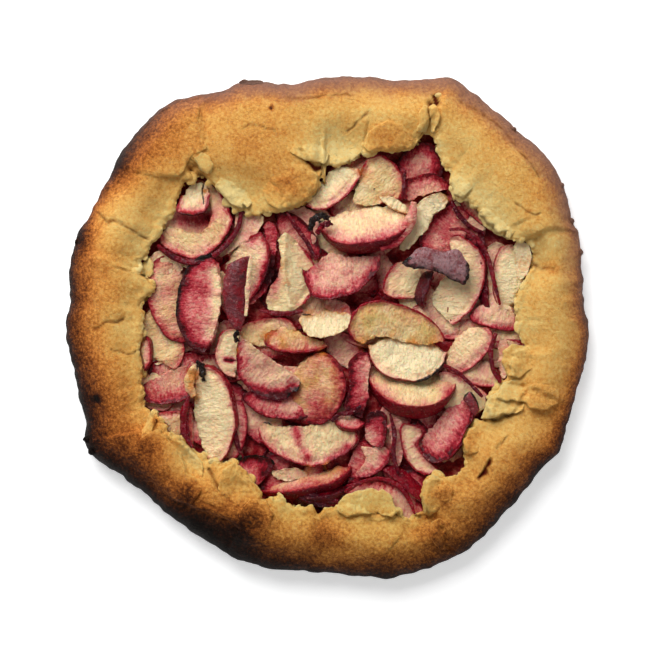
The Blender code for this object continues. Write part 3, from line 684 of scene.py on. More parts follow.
class Finish:
    """A material in the making. Each call adds one node and gives its output."""

    def __init__(self, name):
        self.material = bpy.data.materials.new(name)
        self.material.use_nodes = True
        self.tree = self.material.node_tree
        self.shader = self.tree.nodes["Principled BSDF"]

    def put(self, socket, value):
        if isinstance(value, bpy.types.NodeSocket):
            self.tree.links.new(value, socket)
        else:
            socket.default_value = value

    def place(self):
        """The piece's own coordinates, in metres."""
        return self.tree.nodes.new("ShaderNodeTexCoord").outputs["Object"]

    def northing(self):
        """How far north a point lies, in metres."""
        node = self.tree.nodes.new("ShaderNodeSeparateXYZ")
        self.put(node.inputs[0], self.place())
        return node.outputs["Y"]

    def kept(self, name, output="Fac"):
        """A number that was stored at the points, or with the output Vector, three of them."""
        node = self.tree.nodes.new("ShaderNodeAttribute")
        node.attribute_name = name
        return node.outputs[output]

    def stretched(self, vector, scale):
        node = self.tree.nodes.new("ShaderNodeMapping")
        node.inputs["Scale"].default_value = scale
        self.put(node.inputs["Vector"], vector)
        return node.outputs["Vector"]

    def grain(self, size, vector=None, detail=3.0, rough=0.55):
        """Noise whose lumps are about `size` mm across."""
        node = self.tree.nodes.new("ShaderNodeTexNoise")
        self.put(node.inputs["Vector"], vector if vector is not None else self.place())
        node.inputs["Scale"].default_value = 1.0 / (size * MM) if vector is None else 1.0 / size
        node.inputs["Detail"].default_value = detail
        node.inputs["Roughness"].default_value = rough
        return node.outputs["Fac"]

    def math(self, operation, first, second=0.0, third=0.0):
        node = self.tree.nodes.new("ShaderNodeMath")
        node.operation = operation
        for socket, value in zip(node.inputs, (first, second, third)):
            self.put(socket, value)
        return node.outputs[0]

    def swayed(self, base, noise, amount):
        """A value made uneven by a noise, which is taken from its own middle of 0.5."""
        return self.math("MULTIPLY_ADD", self.math("SUBTRACT", noise, 0.5), amount, base)

    def ramp(self, factor, *stops):
        """Colours along a factor, each stop a position and a colour or a grey level."""
        node = self.tree.nodes.new("ShaderNodeValToRGB")
        self.put(node.inputs[0], factor)
        elements = node.color_ramp.elements
        while len(elements) < len(stops):
            elements.new(0.5)
        for element, (position, colour) in zip(elements, stops):
            element.position = position
            element.color = colour if isinstance(colour, (list, tuple)) else (colour, colour, colour, 1)
        return node.outputs["Color"]

    def blend(self, factor, first, second, kind="MIX"):
        node = self.tree.nodes.new("ShaderNodeMix")
        node.clamp_factor = True
        node.data_type = "RGBA"
        node.blend_type = kind
        for index, value in ((0, factor), (6, first), (7, second)):  # 6 and 7 are the colour inputs
            self.put(node.inputs[index], value)
        return node.outputs[2]

    def bump(self, height, depth, strength=1.0, under=None):
        """Relief of `depth` mm, on top of the bump under it if one is given."""
        node = self.tree.nodes.new("ShaderNodeBump")
        node.inputs["Strength"].default_value = strength
        node.inputs["Distance"].default_value = depth * MM
        self.put(node.inputs["Height"], height)
        if under is not None:
            self.put(node.inputs["Normal"], under)
        return node.outputs["Normal"]

    def end(self, **sockets):
        for name, value in sockets.items():
            self.put(self.shader.inputs[name.replace("_", " ")], value)
        return self.material


print("mid grey is", round(tint(128, 128, 128)[0], 3), "in a shader")

# %% [markdown]
# ## Materials: baked pastry
# Shortcrust is matt and sandy. It runs from cream through gold and brown to black, with paler flour
# and toasted specks. Two bumps, of pits and of sand, give the crumbly feel that would take
# millions of faces to model.

# %% Colours of baked pastry
CRUST = (
    (0.04, tint(255, 228, 154)),
    (0.17, tint(255, 211, 124)),
    (0.30, tint(250, 186, 95)),
    (0.42, tint(230, 148, 66)),
    (0.54, tint(184, 104, 42)),
    (0.67, tint(112, 56, 20)),
    (0.79, tint(52, 19, 6)),
    (0.92, tint(14, 4, 2)),
)
SOUTH_TINT, ASH_TINT, TOAST_TINT = tint(241, 255, 255), tint(150, 113, 98), tint(150, 88, 34)
FLOUR_TINT, SPLIT_SHADE_TINT, FRUIT_IN_SPLIT = tint(255, 226, 164), tint(128, 66, 24), tint(112, 16, 24)
SOUTH_START, SOUTH_FULL = 0.56, 0.94  # the y of the tart times -8 per metre, where the south begins


def crust_colour(pastry, bake):
    """The browned crust with its toasted specks and its flour."""
    colour = pastry.ramp(bake, *CRUST)
    south = pastry.math("MULTIPLY", pastry.northing(), -8.0)
    south = pastry.ramp(south, (SOUTH_START, 0.0), (SOUTH_FULL, 1.0))
    colour = pastry.blend(south, colour, SOUTH_TINT, "MULTIPLY")
    colour = pastry.blend(pastry.math("MULTIPLY", pastry.kept("ash"), 0.68), colour, ASH_TINT)
    toast = pastry.ramp(pastry.grain(1.3, detail=4.0, rough=0.8), (0.30, 0.5), (0.42, 0.0))
    colour = pastry.blend(toast, colour, TOAST_TINT, "MULTIPLY")
    flour = pastry.ramp(pastry.grain(0.8, detail=2.0, rough=0.8), (0.56, 0.0), (0.70, 0.40))
    unburnt = pastry.ramp(bake, (0.40, 1.0), (0.62, 0.08))
    return pastry.blend(pastry.math("MULTIPLY", flour, unburnt), colour, FLOUR_TINT, "SCREEN")


def pastry_finish():
    pastry = Finish("baked_pastry")
    speck = pastry.grain(1.6, detail=3.0, rough=0.85)
    cloud = pastry.grain(7.0, detail=4.0, rough=0.62)
    bake = pastry.swayed(pastry.kept("bake"), speck, 0.74)
    bake = pastry.swayed(bake, cloud, 0.22)
    colour = crust_colour(pastry, bake)
    crack = pastry.kept("crack")
    # Splits are too narrow for the mesh to shade, so their colour is darkened to brown: partly browner
    # dough, partly painted shade. Where fruit shows in one, it is its deep garnet.
    colour = pastry.blend(pastry.math("MULTIPLY", crack, 0.85), colour, SPLIT_SHADE_TINT)
    colour = pastry.blend(pastry.math("SUBTRACT", crack, 1.0), colour, FRUIT_IN_SPLIT)
    pits = pastry.bump(pastry.grain(2.6, detail=5.0, rough=0.75), 1.1)
    sand = pastry.bump(pastry.grain(1.1, detail=4.0, rough=0.85), 1.1, under=pits)
    rough = pastry.ramp(cloud, (0.3, 0.55), (0.7, 0.75))
    return pastry.end(Base_Color=colour, Roughness=rough, Normal=sand, Specular_IOR_Level=0.08)


pastry = pastry_finish()
case.data.materials.append(pastry)
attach(case, "root")
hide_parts("pastry_case")
print("pastry finish of", len(pastry.node_tree.nodes), "nodes")

# %% [markdown]
# ## Loose flaps, knobs and crumbs of pastry
# Where the dough was patched, folded twice or cracked open, separate flaps lie on the case. A row
# is a flap's outline, its thickness, the bearing of its free edge or None if it is loose all
# round, the lowest level that it may sink to, and how much browner it is than its place.

# %% Outlines of the flaps
FLAPS = (
    (((19, 96), (21, 102), (25, 107), (32, 110), (39, 108), (44, 104), (46, 99), (45, 95), (38, 94),
      (30, 94), (22, 94)), 2.8, None, 16, 0.05),
    (((47, 104), (49, 109), (48, 114), (51, 118), (53, 118), (54, 111), (53, 104)), 2.8, None, 15.5,
      -0.01),
    (((55, 104), (55, 111), (54, 118), (57, 119), (60, 114), (59, 108), (57, 104)), 2.4, None, 15.5,
      -0.02),
    (((94, -12), (99, -9), (105, -10), (110, -15), (109, -22), (102, -27), (96, -25), (93, -19)), 4.2,
      190, 15, 0),
    (((82, -49), (84, -42), (87, -37), (92, -33), (98, -33), (106, -37), (104, -44), (97, -46), (93, -46),
      (88, -49)), 5, 235, 15, -0.05),
    (((90, -37), (94, -29), (101, -27), (108, -29), (112, -34), (107, -39), (98, -39), (93, -39)), 5.2,
      230, 15.5, -0.04),
    (((103, -33), (109, -30), (117, -30), (124, -34), (123, -40), (116, -44), (108, -43), (104, -39)),
      4.2, 240, 15, 0),
    (((72, -65), (71, -59), (74, -54), (79, -53), (83, -59), (81, -66), (75, -68)), 3.2, 180, 15, 0.03),
    (((55, -104), (60, -102), (65, -105), (67, -112), (65, -119), (59, -118), (55, -112)), 3.6, 180, 14,
      0.02),
    (((5, -98), (6, -93), (10, -89), (17, -87), (24, -86), (27, -88), (29, -86), (33, -88), (35, -93),
      (38, -98), (34, -101), (26, -99), (16, -100), (10, -101)), 3.2, None, 15.8, -0.01),
    (((-48, -106), (-46, -97), (-40, -91), (-33, -92), (-29, -98), (-31, -106), (-38, -110), (-45, -110)),
      5.6, 70, 15, 0.04),
    (((-58, -86), (-56, -76), (-50, -72), (-44, -76), (-40, -82), (-35, -88), (-36, -94), (-43, -96),
      (-51, -94)), 5, 60, 15.5, 0),
    (((-99, -60), (-95, -60), (-92, -52), (-90, -45), (-93, -43), (-96, -47), (-98, -54)), 3, None, 15,
      -0.06),
    (((-102, -61), (-95, -56), (-89, -54), (-85, -60), (-87, -67), (-94, -71), (-101, -68)), 6, 30, 15,
      0.05),
    (((-84, -55), (-79, -59), (-75, -63), (-70, -68), (-66, -74), (-66, -80), (-70, -78), (-74, -74),
      (-78, -69), (-82, -63), (-85, -58)), 2.6, 40, 14.5, -0.06),
    (((-86, -56), (-84, -61), (-80, -66), (-77, -71), (-75, -77), (-70, -81), (-67, -86), (-72, -94),
      (-82, -92), (-92, -82), (-98, -72), (-96, -60)), 5.4, 40, 14.5, 0.03),
    (((51, -98), (50, -90), (52, -82), (56, -78), (60, -80), (62, -88), (60, -97), (55, -101)), 3.4, 170,
      15, -0.05),
    (((58, -91), (60, -84), (64, -82), (67, -87), (66, -94), (60, -95)), 3, 100, 15, 0.01),
    (((-100, 28), (-96, 26), (-93, 29), (-93, 34), (-95, 38), (-99, 35)), 2.6, 0, 14, -0.06),
    (((-64, 95), (-66, 99), (-68, 105), (-69, 111), (-68, 117), (-77, 121), (-88, 117), (-98, 107),
      (-106, 97), (-109, 88), (-103, 82), (-92, 80), (-80, 80), (-76, 84), (-75, 88), (-71, 92)), 2.6, 0,
      15, 0.02),
    (((-71, 90), (-68, 84), (-64, 81), (-61, 86), (-63, 92), (-67, 93)), 2.6, None, 15, -0.08),
    (((66, 80), (67, 71), (72, 69), (77, 73), (76, 79), (70, 82)), 2.6, 230, 15, -0.06),
    (((80, 60), (84, 54), (90, 50), (97, 47), (100, 52), (95, 57), (89, 62), (83, 64)), 2.6, 230, 15,
      -0.05),
    (((-20, 93), (-14, 90), (-8, 88), (-1, 87), (1, 92), (-4, 98), (-12, 100), (-18, 98)), 2.4, 270, 15.5,
      -0.04),
    (((-32, 66), (-25, 63), (-17, 65), (-11, 69), (-6, 74), (-5, 81), (-13, 87), (-22, 87), (-31, 82),
      (-35, 73)), 3.2, 310, 16, 0.03),
    (((-60, 75), (-54, 68), (-49, 64), (-44, 63), (-40, 66), (-43, 73), (-50, 78), (-57, 80)), 3, 240, 15,
      -0.08),
    (((-48, 131), (-46, 133), (-40, 133), (-35, 133), (-34, 131), (-40, 130)), 0.9, None, 9, 0.22),
)
# Small lumps at x, y with radius and browning: burnt knobs on the rim, and pale beads.
KNOBS = (
    (133, 58, 2.2, 0.3), (127, 77, 2, 0.3), (137, 41, 1.6, 0.3), (100, 107, 2, 0.2),
    (-129, -60, 2.2, 0.4), (-128, -67, 2.4, 0.4), (-62, -72, 1.8, -0.15), (-100, 32, 1.6, -0.2),
    (59, 124, 1.6, -0.2), (-92, -50, 1.4, 0.3), (-66, 88, 2.2, -0.12), (-63, 84, 1.8, -0.12),
    (-138, 47, 1.8, 0.2), (48, -99, 2, -0.1), (110, 44, 1.8, -0.05), (-56, 70, 2, -0.1),
)
print(len(FLAPS), "flaps and", len(KNOBS), "knobs")

# %% [markdown]
# Each flap is cut from a disc to its outline, raised to its thickness, remeshed and roughened. Last
# it is draped: each point is lifted by the height of the case right under it.

# %% Make a flap and drape it over the case
FLAP_SINK = -1.2  # how deep a flap reaches into what it lies on, in mm
FLAP_VOXEL = 0.6
FLAP_EDGE = ((0, 31), (1, 32))  # axis, and seed of its raggedness
ROUGH_CRUMB = ((0.45, 5, 51), (0.2, 2.4, 52), (0.2, 1.2, 53))


class Ground:
    """Height of a finished surface above the table, in mm, anywhere on it."""

    def __init__(self, obj):
        corners = [face.vertices[:] for face in obj.data.polygons]
        self.tree = BVHTree.FromPolygons([Vector(p) for p in points_of(obj)], corners)

    def heights(self, points, lowest):
        above, down = [], Vector((0, 0, -1))
        for x, y in points:
            hit = self.tree.ray_cast(Vector((x, y, 60)), down)[0]
            above.append(max(lowest, hit.z) if hit else lowest)
        return np.array(above)


def melt_side(flap, free):
    """Thins a flap towards its attached side, so that it melts into the case."""
    points = points_of(flap)
    bearing = math.radians(free)
    toward = points[:, 0] * math.cos(bearing) + points[:, 1] * math.sin(bearing)
    rise = (toward - toward.min()) / np.ptp(toward)
    thick = np.interp(rise, (0.0, 0.7), (0.15, 1.0))
    points[:, 2] = FLAP_SINK + (points[:, 2] - FLAP_SINK) * thick
    move_points(flap, points)


def make_flap(number, outline, thick, free):
    """A flat slab cut to an outline, still lying at the height 0."""
    edge = closed_edge(np.array(outline, float), 6)
    edge = np.concatenate([edge, np.zeros((len(edge), 1))], axis=1)
    ragged = edge.copy()
    for axis, seed in FLAP_EDGE:
        ragged[:, axis] += layered(edge, ((0.7, 3.5, seed), (0.4, 1.6, seed + 4)))
    ragged[:, 2] = FLAP_SINK
    flap = filled_circle(f"pastry_flap_{number}", len(edge))
    move_points(flap, ragged)
    edit_all()
    extrude(thick - FLAP_SINK)
    face_outwards()
    remesh(flap, FLAP_VOXEL, 8)
    if free is not None:
        melt_side(flap, free)
    return flap


def roughen(obj, amount=1.0):
    points, normal = points_of(obj), normals_of(obj)
    push = layered(points, ROUGH_CRUMB)
    move_points(obj, points + amount * normal * push[:, None])


def finish_pastry(piece, browner):
    """Colours a loose piece of pastry by its place, paler on its broken sides."""
    points = points_of(piece)
    side = 1.0 - np.clip(normals_of(piece)[:, 2], 0, 1)
    store(piece, "bake", np.clip(browning(points) + browner - 0.14 * side, 0.02, 1.0))
    store(piece, "crack", np.zeros(len(points)))
    store(piece, "ash", ashen(points))
    piece.data.materials.append(pastry)
    bpy.ops.object.shade_smooth()
    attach(piece, "root")


ground = Ground(case)
flap_faces = 0
for number, (outline, thick, free, lowest, browner) in enumerate(FLAPS, start=1):
    flap = make_flap(number, outline, thick, free)
    roughen(flap)
    points = points_of(flap)
    points[:, 2] = flatten_tops(points[:, 2] + ground.heights(points[:, :2], lowest))
    move_points(flap, points)
    finish_pastry(flap, browner)
    flap_faces += len(flap.data.polygons)
print(len(FLAPS), "flaps of", flap_faces, "faces")

# %% [markdown]
# Shortcrust doesn't tear cleanly: its lip is a row of crumbs that almost came off. They are small
# round lumps set along the torn edge, joined and remeshed so that they melt into one another.

# %% Crumbled lip
CRUMB_SIZES = (0.8, 1.1, 1.6, 2.3, 3.2)
LIP_SEED = 5
LIP_LEVEL, RIM_LEVEL = 14.0, 6.0  # lowest that a crumb of the lip or a knob of the rim may sit


def lump(x, y, z, radius, chance):
    """One crumb: a small ball, flattened and turned at random."""
    bpy.ops.mesh.primitive_ico_sphere_add(
        subdivisions=2,
        radius=radius * MM,
        location=(x * MM, y * MM, z * MM),
        scale=(chance.uniform(0.8, 1.5), chance.uniform(0.8, 1.3), chance.uniform(0.5, 0.85)),
        rotation=(chance.uniform(-0.4, 0.4), chance.uniform(-0.4, 0.4), chance.uniform(0, math.tau)),
    )
    return bpy.context.object


def join_lumps(name, lumps):
    deselect()
    for piece in lumps:
        piece.select_set(True)
    bpy.context.view_layer.objects.active = lumps[0]
    bpy.ops.object.join()
    bpy.ops.object.transform_apply(location=True, rotation=True, scale=True)
    lumps[0].name = name
    return lumps[0]


def lip_lumps(chance):
    """Crumbs along the torn edge, each starting where the one before it lets it."""
    bearings = np.radians(np.arange(0, 360, 0.25))
    torn = outline_radius(TORN_EDGE, bearings, False)
    path = np.stack([torn * np.cos(bearings), torn * np.sin(bearings)], axis=1)
    lumps, since = [], 0.0
    for here, there in zip(path, np.roll(path, -1, axis=0)):
        since += math.hypot(*(there - here))
        if since < 0:
            continue
        radius = chance.choice(CRUMB_SIZES)
        since = -chance.uniform(0.9, 1.7) * radius
        back = 1 + (chance.uniform(0.3, 1.5) * radius - 0.3) / math.hypot(*here)
        x, y = here * back
        z = ground.heights([(x, y)], LIP_LEVEL)[0] - chance.uniform(0.65, 1.05) * radius
        lumps.append(lump(x, y, z, radius, chance))
    return lumps


def knob_lumps(chance):
    """The knobs, moved in where they would stand past the rim."""
    lumps = []
    for x, y, radius, _ in KNOBS:
        rim = float(outline_radius(OUTER_EDGE, np.array([math.atan2(y, x) % math.tau]), True)[0])
        inward = min(1.0, (rim - 0.9 * radius) / math.hypot(x, y))
        x, y = x * inward, y * inward
        z = ground.heights([(x, y)], RIM_LEVEL)[0] - 0.2 * radius
        lumps.append(lump(x, y, z, radius, chance))
    return lumps


def crumbled_lip():
    chance = random.Random(LIP_SEED)
    lumps = lip_lumps(chance)
    lumps += knob_lumps(chance)
    count = len(lumps)
    lip = join_lumps("pastry_lip_crumbs", lumps)
    remesh(lip, 0.5, 3)
    roughen(lip, 0.9)
    points = points_of(lip)
    points[:, 2] = flatten_tops(points[:, 2])
    move_points(lip, points)
    return lip, count


lip, count = crumbled_lip()
points = points_of(lip)
finish_pastry(lip, spot_sum(points[:, 0], points[:, 1], KNOBS) - 0.04)
print(count, "lumps along the lip,", len(lip.data.polygons), "faces")

# %% [markdown]
# ## The nectarine slices: where they lie
# Each row is one slice as the solids have it. `tail` and `head` are its tips, `skin` and `core`
# how far its skin and its stone side stand from the line between them, `wedge` its thickness as
# an angle of the fruit, `roll` and `pitch` its tilt in degrees, `lift` its height in the heap.
# `rosy` says how far the juice has coloured it, from 0 for cream to 1 for garnet.

# %% Table of slices
Slice = namedtuple("Slice", "name tail head skin core wedge roll pitch lift rosy")
SLICES = [Slice("slice_" + name, *rest) for name, *rest in (
    ("dark_cap", (76, 23), (37, 33), 14, -1, 66, 96, 4, 10, 0.6),
    ("long_pale", (63, -10), (10, -7), 22, 3, 34, 6, 2, 10.5, 0.08),
    ("torn_strip", (25, 72), (45, 65), 5, -2, 40, 10, -4, 10, 0.05),
    ("north_boat", (-5, 58), (46, 64), 21, -4, 44, 36, 3, 9.5, 0.2),
    ("heart_pink", (-16, 33), (33, 38), 19, -6, 36, 14, 2, 8, 0.46),
    ("red_drop", (-49, -3), (-13, -32), 19, -3, 40, -10, -4, 9.5, 0.34),
    ("west_white", (-63, -74), (-68, -20), 17, -7, 40, 22, 5, 8, 0.04),
    ("red_west", (-62, 39), (-65, -14), 18, -7, 40, -8, 0, 8.5, 0.76),
    ("skin_spear", (-42, 41), (-45, -4), 14, -1, 64, 76, 0, 6.5, 0.55),
    ("cream_small", (-18, 6), (13, 4), 12, -3, 42, 16, 0, 8.6, 0.02),
    ("red_southeast", (47, -65), (77, -38), 18, -2, 44, 22, 4, 7.5, 0.62),
    ("purple_chip", (73, -32), (80, -50), 8, -1, 70, 84, 0, 7, 0.4),
    ("east_pale", (22, -9), (64, -13), 18, -7, 36, 10, -2, 7.6, -0.03),
    ("curl_north", (-83, 72), (-61, 71), 13, -7, 36, 14, 0, 8, 0.02),
    ("east_boat", (22, -19), (71, -25), 26, -4, 48, 40, 3, 6, 0.1),
    ("amber", (-35, 1), (1, -11), 9, -6, 44, 20, 0, 7, 0.2),
    ("centre_south", (-13, -52), (-5, -12), 19, -12, 34, 8, 2, 6.6, 0.37),
    ("white_nook", (-48, 0), (-50, -27), 11, -4, 38, 8, 0, 6.4, 0.06),
    ("rosy_shelf", (-46, -35), (-8, -45), 9, -7, 38, 6, 0, 5.4, 0.44),
    ("ridge", (-18, 8), (-22, 52), 19, -1, 86, -40, 2, 6.2, 0.02),
    ("south_moon", (-39, -52), (18, -54), 23, -7, 34, 4, 0, 5.6, 0.13),
    ("fan_pale", (-45, 8), (-42, 54), 13, -15, 38, 24, 2, 5.6, 0.16),
    ("north_cream", (-15, 68), (18, 89), 15, -10, 34, 8, 0, 6.6, 0.04),
    ("northeast_torn", (67, 71), (33, 40), 13, -7, 38, 10, -4, 8, -0.06),
    ("garnet_north", (68, 71), (39, 67), 14, -2, 38, 12, 0, 6, 0.4),
    ("north_glass", (35, 59), (12, 91), 17, -14, 34, 4, 2, 5.2, 0.08),
    ("dark_post", (58, 30), (52, 10), 7, -1, 64, 76, 0, 5, 0.9),
    ("ring_northeast", (63, -3), (63, 53), 23, -5, 36, 8, 3, 5.6, 0.08),
    ("ring_northwest", (-92, 50), (-58, 80), 29, 11, 36, 12, 0, 6, 0.13),
    ("pale_nest", (34, 40), (53, 10), 15, -8, 34, 10, 0, 4.8, 0.08),
    ("east_diamond", (64, -23), (86, 1), 10, -9, 36, 8, 0, 5.2, 0.24),
    ("blush_arch", (-16, -3), (-49, -6), 10, -6, 38, 10, 0, 4.8, 0.13),
    ("skin_post", (24, -6), (22, -50), 14, -1, 66, 76, -3, 4, 0.46),
    ("little_boat", (3, -46), (21, -50), 8, -2, 44, 34, 0, 5.8, 0.32),
    ("small_curl", (-99, -24), (-98, -4), 5, -4, 60, 30, 0, 6, 0.28),
    ("west_long", (-88, 39), (-76, -8), 14, -9, 36, 8, 0, 4.8, 0.38),
    ("garnet_chip", (29, -67), (23, -44), 8, -6, 40, 8, 0, 4.8, 0.52),
    ("crescent_south", (12, -83), (33, -61), 11, -7, 38, 8, 0, 4.4, 0.38),
    ("bark_south", (-38, -85), (13, -73), 13, -1, 52, 54, 4, 4.6, 0.42),
    ("pink_west", (-103, -30), (-68, -23), 13, -6, 38, 8, 0, 4.6, 0.5),
    ("west_strip", (-72, -39), (-71, -67), 8, -1, 62, 66, 0, 4, 0.5),
    ("rosy_west", (-55, -73), (-49, -38), 9, -8, 38, 8, 0, 4.2, 0.34),
    ("garnet_southwest", (-26, -79), (-53, -73), 9, -10, 38, 4, 0, 4.6, 0.7),
    ("blush_southeast", (48, -47), (63, -82), 11, -7, 36, 8, 0, 4, 0.06),
    ("pale_southeast", (88, -42), (59, -24), 5, -15, 36, 4, 0, 4, 0.06),
    ("plum_north", (-5, 36), (-28, 61), 9, -7, 38, 4, 0, 4.2, 0.6),
    ("east_thread", (84, 53), (88, 8), 6, -1, 70, 78, 0, 3.5, 0.8),
    ("east_rim", (99, 45), (97, 9), 10, -8, 38, 8, 0, 4.4, 0.03),
    ("east_fold", (76, 7), (104, 2), 6, -12, 36, 6, 0, 3.8, 0.34),
    ("rim_northeast", (68, 73), (92, 51), 4, -12, 38, 4, 0, 4, 0.28),
    ("south_arch", (52, -103), (5, -93), 16, -8, 36, 8, 0, 4, 0.46),
    ("dark_south", (-21, -87), (13, -83), 11, -2, 64, 62, 0, 3, 0.9),
    ("ruby_northeast", (76, 66), (52, 39), 12, -11, 34, 2, 0, 3.4, 0.7),
    ("south_wedge", (54, -100), (26, -76), 9, -2, 66, 72, 0, 3, 0.4),
    ("veil_north", (62, 81), (37, 84), 17, -6, 34, 2, 0, 3.2, 0.7),
    ("west_broad", (-82, -23), (-91, 16), 9, -15, 34, 4, 0, 3.4, 0.2),
    ("southwest_rim", (-73, -48), (-95, -50), 5, -12, 36, 4, 0, 3.4, 0.2),
    ("beige_east", (70, -23), (94, -30), 5, -10, 36, 4, 0, 3.2, 0.26),
)]
print(len(SLICES), "slices")

# %% [markdown]
# Slices that were torn, folded or partly hidden get a drawn outline instead of the wedge's, and
# their row then only places it.

# %% Outlines of the slices that aren't clean wedges
DRAWN = {
    "slice_ridge": ((-23, 52), (-14, 45), (-9, 38), (-6, 32), (-5, 24), (-8, 17), (-13, 12), (-18, 8),
        (-26, 8), (-33, 9), (-34, 15), (-30, 22), (-25, 33), (-26, 41), (-27, 48)),
    "slice_fan_pale": ((-36, 52), (-32, 45), (-31, 37), (-33, 29), (-37, 20), (-41, 14), (-46, 14),
        (-52, 24), (-56, 33), (-49, 43), (-41, 50)),
    "slice_north_cream": ((-14, 66), (-10, 72), (-5, 78), (0, 83), (6, 87), (17, 86), (18, 80), (12, 73),
        (7, 67), (0, 63), (-8, 62)),
    "slice_north_glass": ((20, 91), (28, 93), (35, 89), (40, 83), (41, 76), (39, 68), (30, 66), (21, 64),
        (13, 66), (15, 74), (17, 82)),
    "slice_northeast_torn": ((58, 72), (63, 71), (65, 67), (61, 62), (56, 60), (54, 52), (50, 47),
        (42, 40), (37, 41), (41, 48), (43, 55), (46, 64), (50, 69)),
    "slice_garnet_north": ((41, 79), (49, 81), (58, 83), (65, 77), (65, 73), (58, 73), (50, 70), (43, 67),
        (40, 70)),
    "slice_torn_strip": ((26, 71), (35, 70), (42, 66), (44, 60), (40, 61), (34, 64), (29, 67)),
    "slice_dark_cap": ((38, 33.4), (43, 38), (47, 43.4), (52, 43.6), (58, 42), (64, 41), (70, 42.4),
        (73, 38), (75.4, 33), (75.4, 28), (73, 21.4), (69, 24), (64, 26), (58, 29), (51, 30.6),
        (45, 31.4)),
    "slice_skin_spear": ((-41, 39), (-46, 37.5), (-53, 34), (-55, 29), (-56, 22), (-55.5, 13), (-54, 5),
        (-50, -2), (-45, -3), (-44, 8), (-43.5, 20), (-42, 31)),
    "slice_pale_nest": ((36, 36), (44, 36), (51, 30), (50, 21), (46, 15), (35, 15), (29, 18), (30, 26)),
    "slice_heart_pink": ((-15, 33), (-13, 31), (-9, 33), (-3, 38), (3, 40), (11, 38), (20, 39), (29, 40),
        (29, 33), (22, 24), (13, 17), (0, 14), (-9, 17), (-13, 24)),
    "slice_pink_west": ((-102, -31), (-93, -27), (-86, -23), (-76, -20), (-71, -22), (-71, -35),
        (-78, -40), (-91, -42), (-99, -39)),
    "slice_red_drop": ((-48, -4), (-44, -6), (-36, -12), (-25, -20), (-13, -29), (-15, -34), (-19, -34),
        (-21, -38), (-27, -40), (-36, -38), (-44, -33), (-48, -27), (-49, -18), (-49, -10)),
    "slice_south_moon": ((-38, -54), (-34, -49), (-30, -53), (-22, -52), (-8, -52), (1, -48), (8, -52),
        (16, -56), (16, -62), (7, -70), (0, -74), (-8, -75), (-18, -73), (-28, -69), (-35, -62)),
    "slice_garnet_southwest": ((-50, -71), (-41, -67), (-30, -69), (-27, -73), (-31, -79), (-37, -86),
        (-44, -80)),
    "slice_red_southeast": ((73, -38), (78, -44), (77, -53), (73, -61), (66, -70), (56, -73), (48, -66),
        (50, -60), (58, -49), (66, -41)),
    "slice_purple_chip": ((76, -33), (80, -38), (82, -44), (79, -48), (75, -42), (72, -38)),
    "slice_cream_small": ((-16, 5), (-12, 8), (-6, 7), (-1, 11), (5, 8), (13, 7), (14, 2), (8, -3),
        (0, -6), (-9, -5), (-14, -1)),
    "slice_amber": ((-35, -5), (-31, -1), (-24, 1), (-16, -1), (-11, -5), (0, -7), (0, -11), (-9, -13),
        (-18, -14), (-27, -13), (-33, -10)),
    "slice_long_pale": ((10, 3), (16, 11), (22, 14), (30, 15), (43, 12), (54, 6), (60, 0), (63, -8),
        (58, -8), (54, -10), (47, -8), (40, -8), (32, -5), (24, -6), (19, -10), (13, -7), (10, -2)),
    "slice_ring_northeast": ((64, 45), (65, 50), (70, 51), (76, 48), (82, 42), (85, 34), (85, 26),
        (82, 17), (77, 9), (71, 4), (66, 1), (60, 8), (55, 13), (57, 22), (64, 28), (68, 36)),
    "slice_ring_northwest": ((-64, 78), (-57, 73), (-53, 66), (-49, 58), (-52, 52), (-57, 44), (-64, 38),
        (-73, 36), (-83, 40), (-90, 45), (-90, 51), (-85, 55), (-78, 52), (-69, 50), (-64, 54), (-63, 62),
        (-65, 70)),
    "slice_curl_north": ((-81, 62), (-79, 70), (-75, 75), (-69, 78), (-64, 77), (-63, 70), (-64, 61),
        (-71, 59)),
    "slice_crescent_south": ((17, -63), (22, -64), (29, -63), (35, -66), (33, -73), (26, -79), (18, -82),
        (14, -79), (18, -74), (22, -70)),
    "slice_blush_southeast": ((41, -50), (50, -53), (52, -58), (48, -63), (52, -70), (60, -76), (55, -80),
        (47, -78), (42, -71), (39, -62), (38, -54)),
    "slice_garnet_chip": ((21, -46), (28, -44), (32, -48), (32, -58), (29, -65), (22, -63), (20, -58)),
    "slice_skin_post": ((10, -20), (16, -13), (22, -12), (23, -22), (22, -38), (20, -49), (14, -47),
        (8, -43), (11, -36), (12, -28)),
}
# A crease pushed up along a line: the slice lies over it like a tent. Its line and its height.
CREASES = {"slice_ridge": (((-22, 51), (-23, 40), (-23, 28), (-20, 11)), 5)}
# Slices that show the outside of the fruit, and slices with no skin left on them.
SKIN_UP = ("slice_dark_cap", "slice_purple_chip", "slice_skin_spear")
BARE = ("slice_torn_strip", "slice_northeast_torn", "slice_cream_small")
print(len(DRAWN), "drawn slices")

# %% [markdown]
# Between the slices lie thin veils of flesh, folds of skin and strips of peel. They are too small
# or too thin to be solids, so only this lesson makes them.

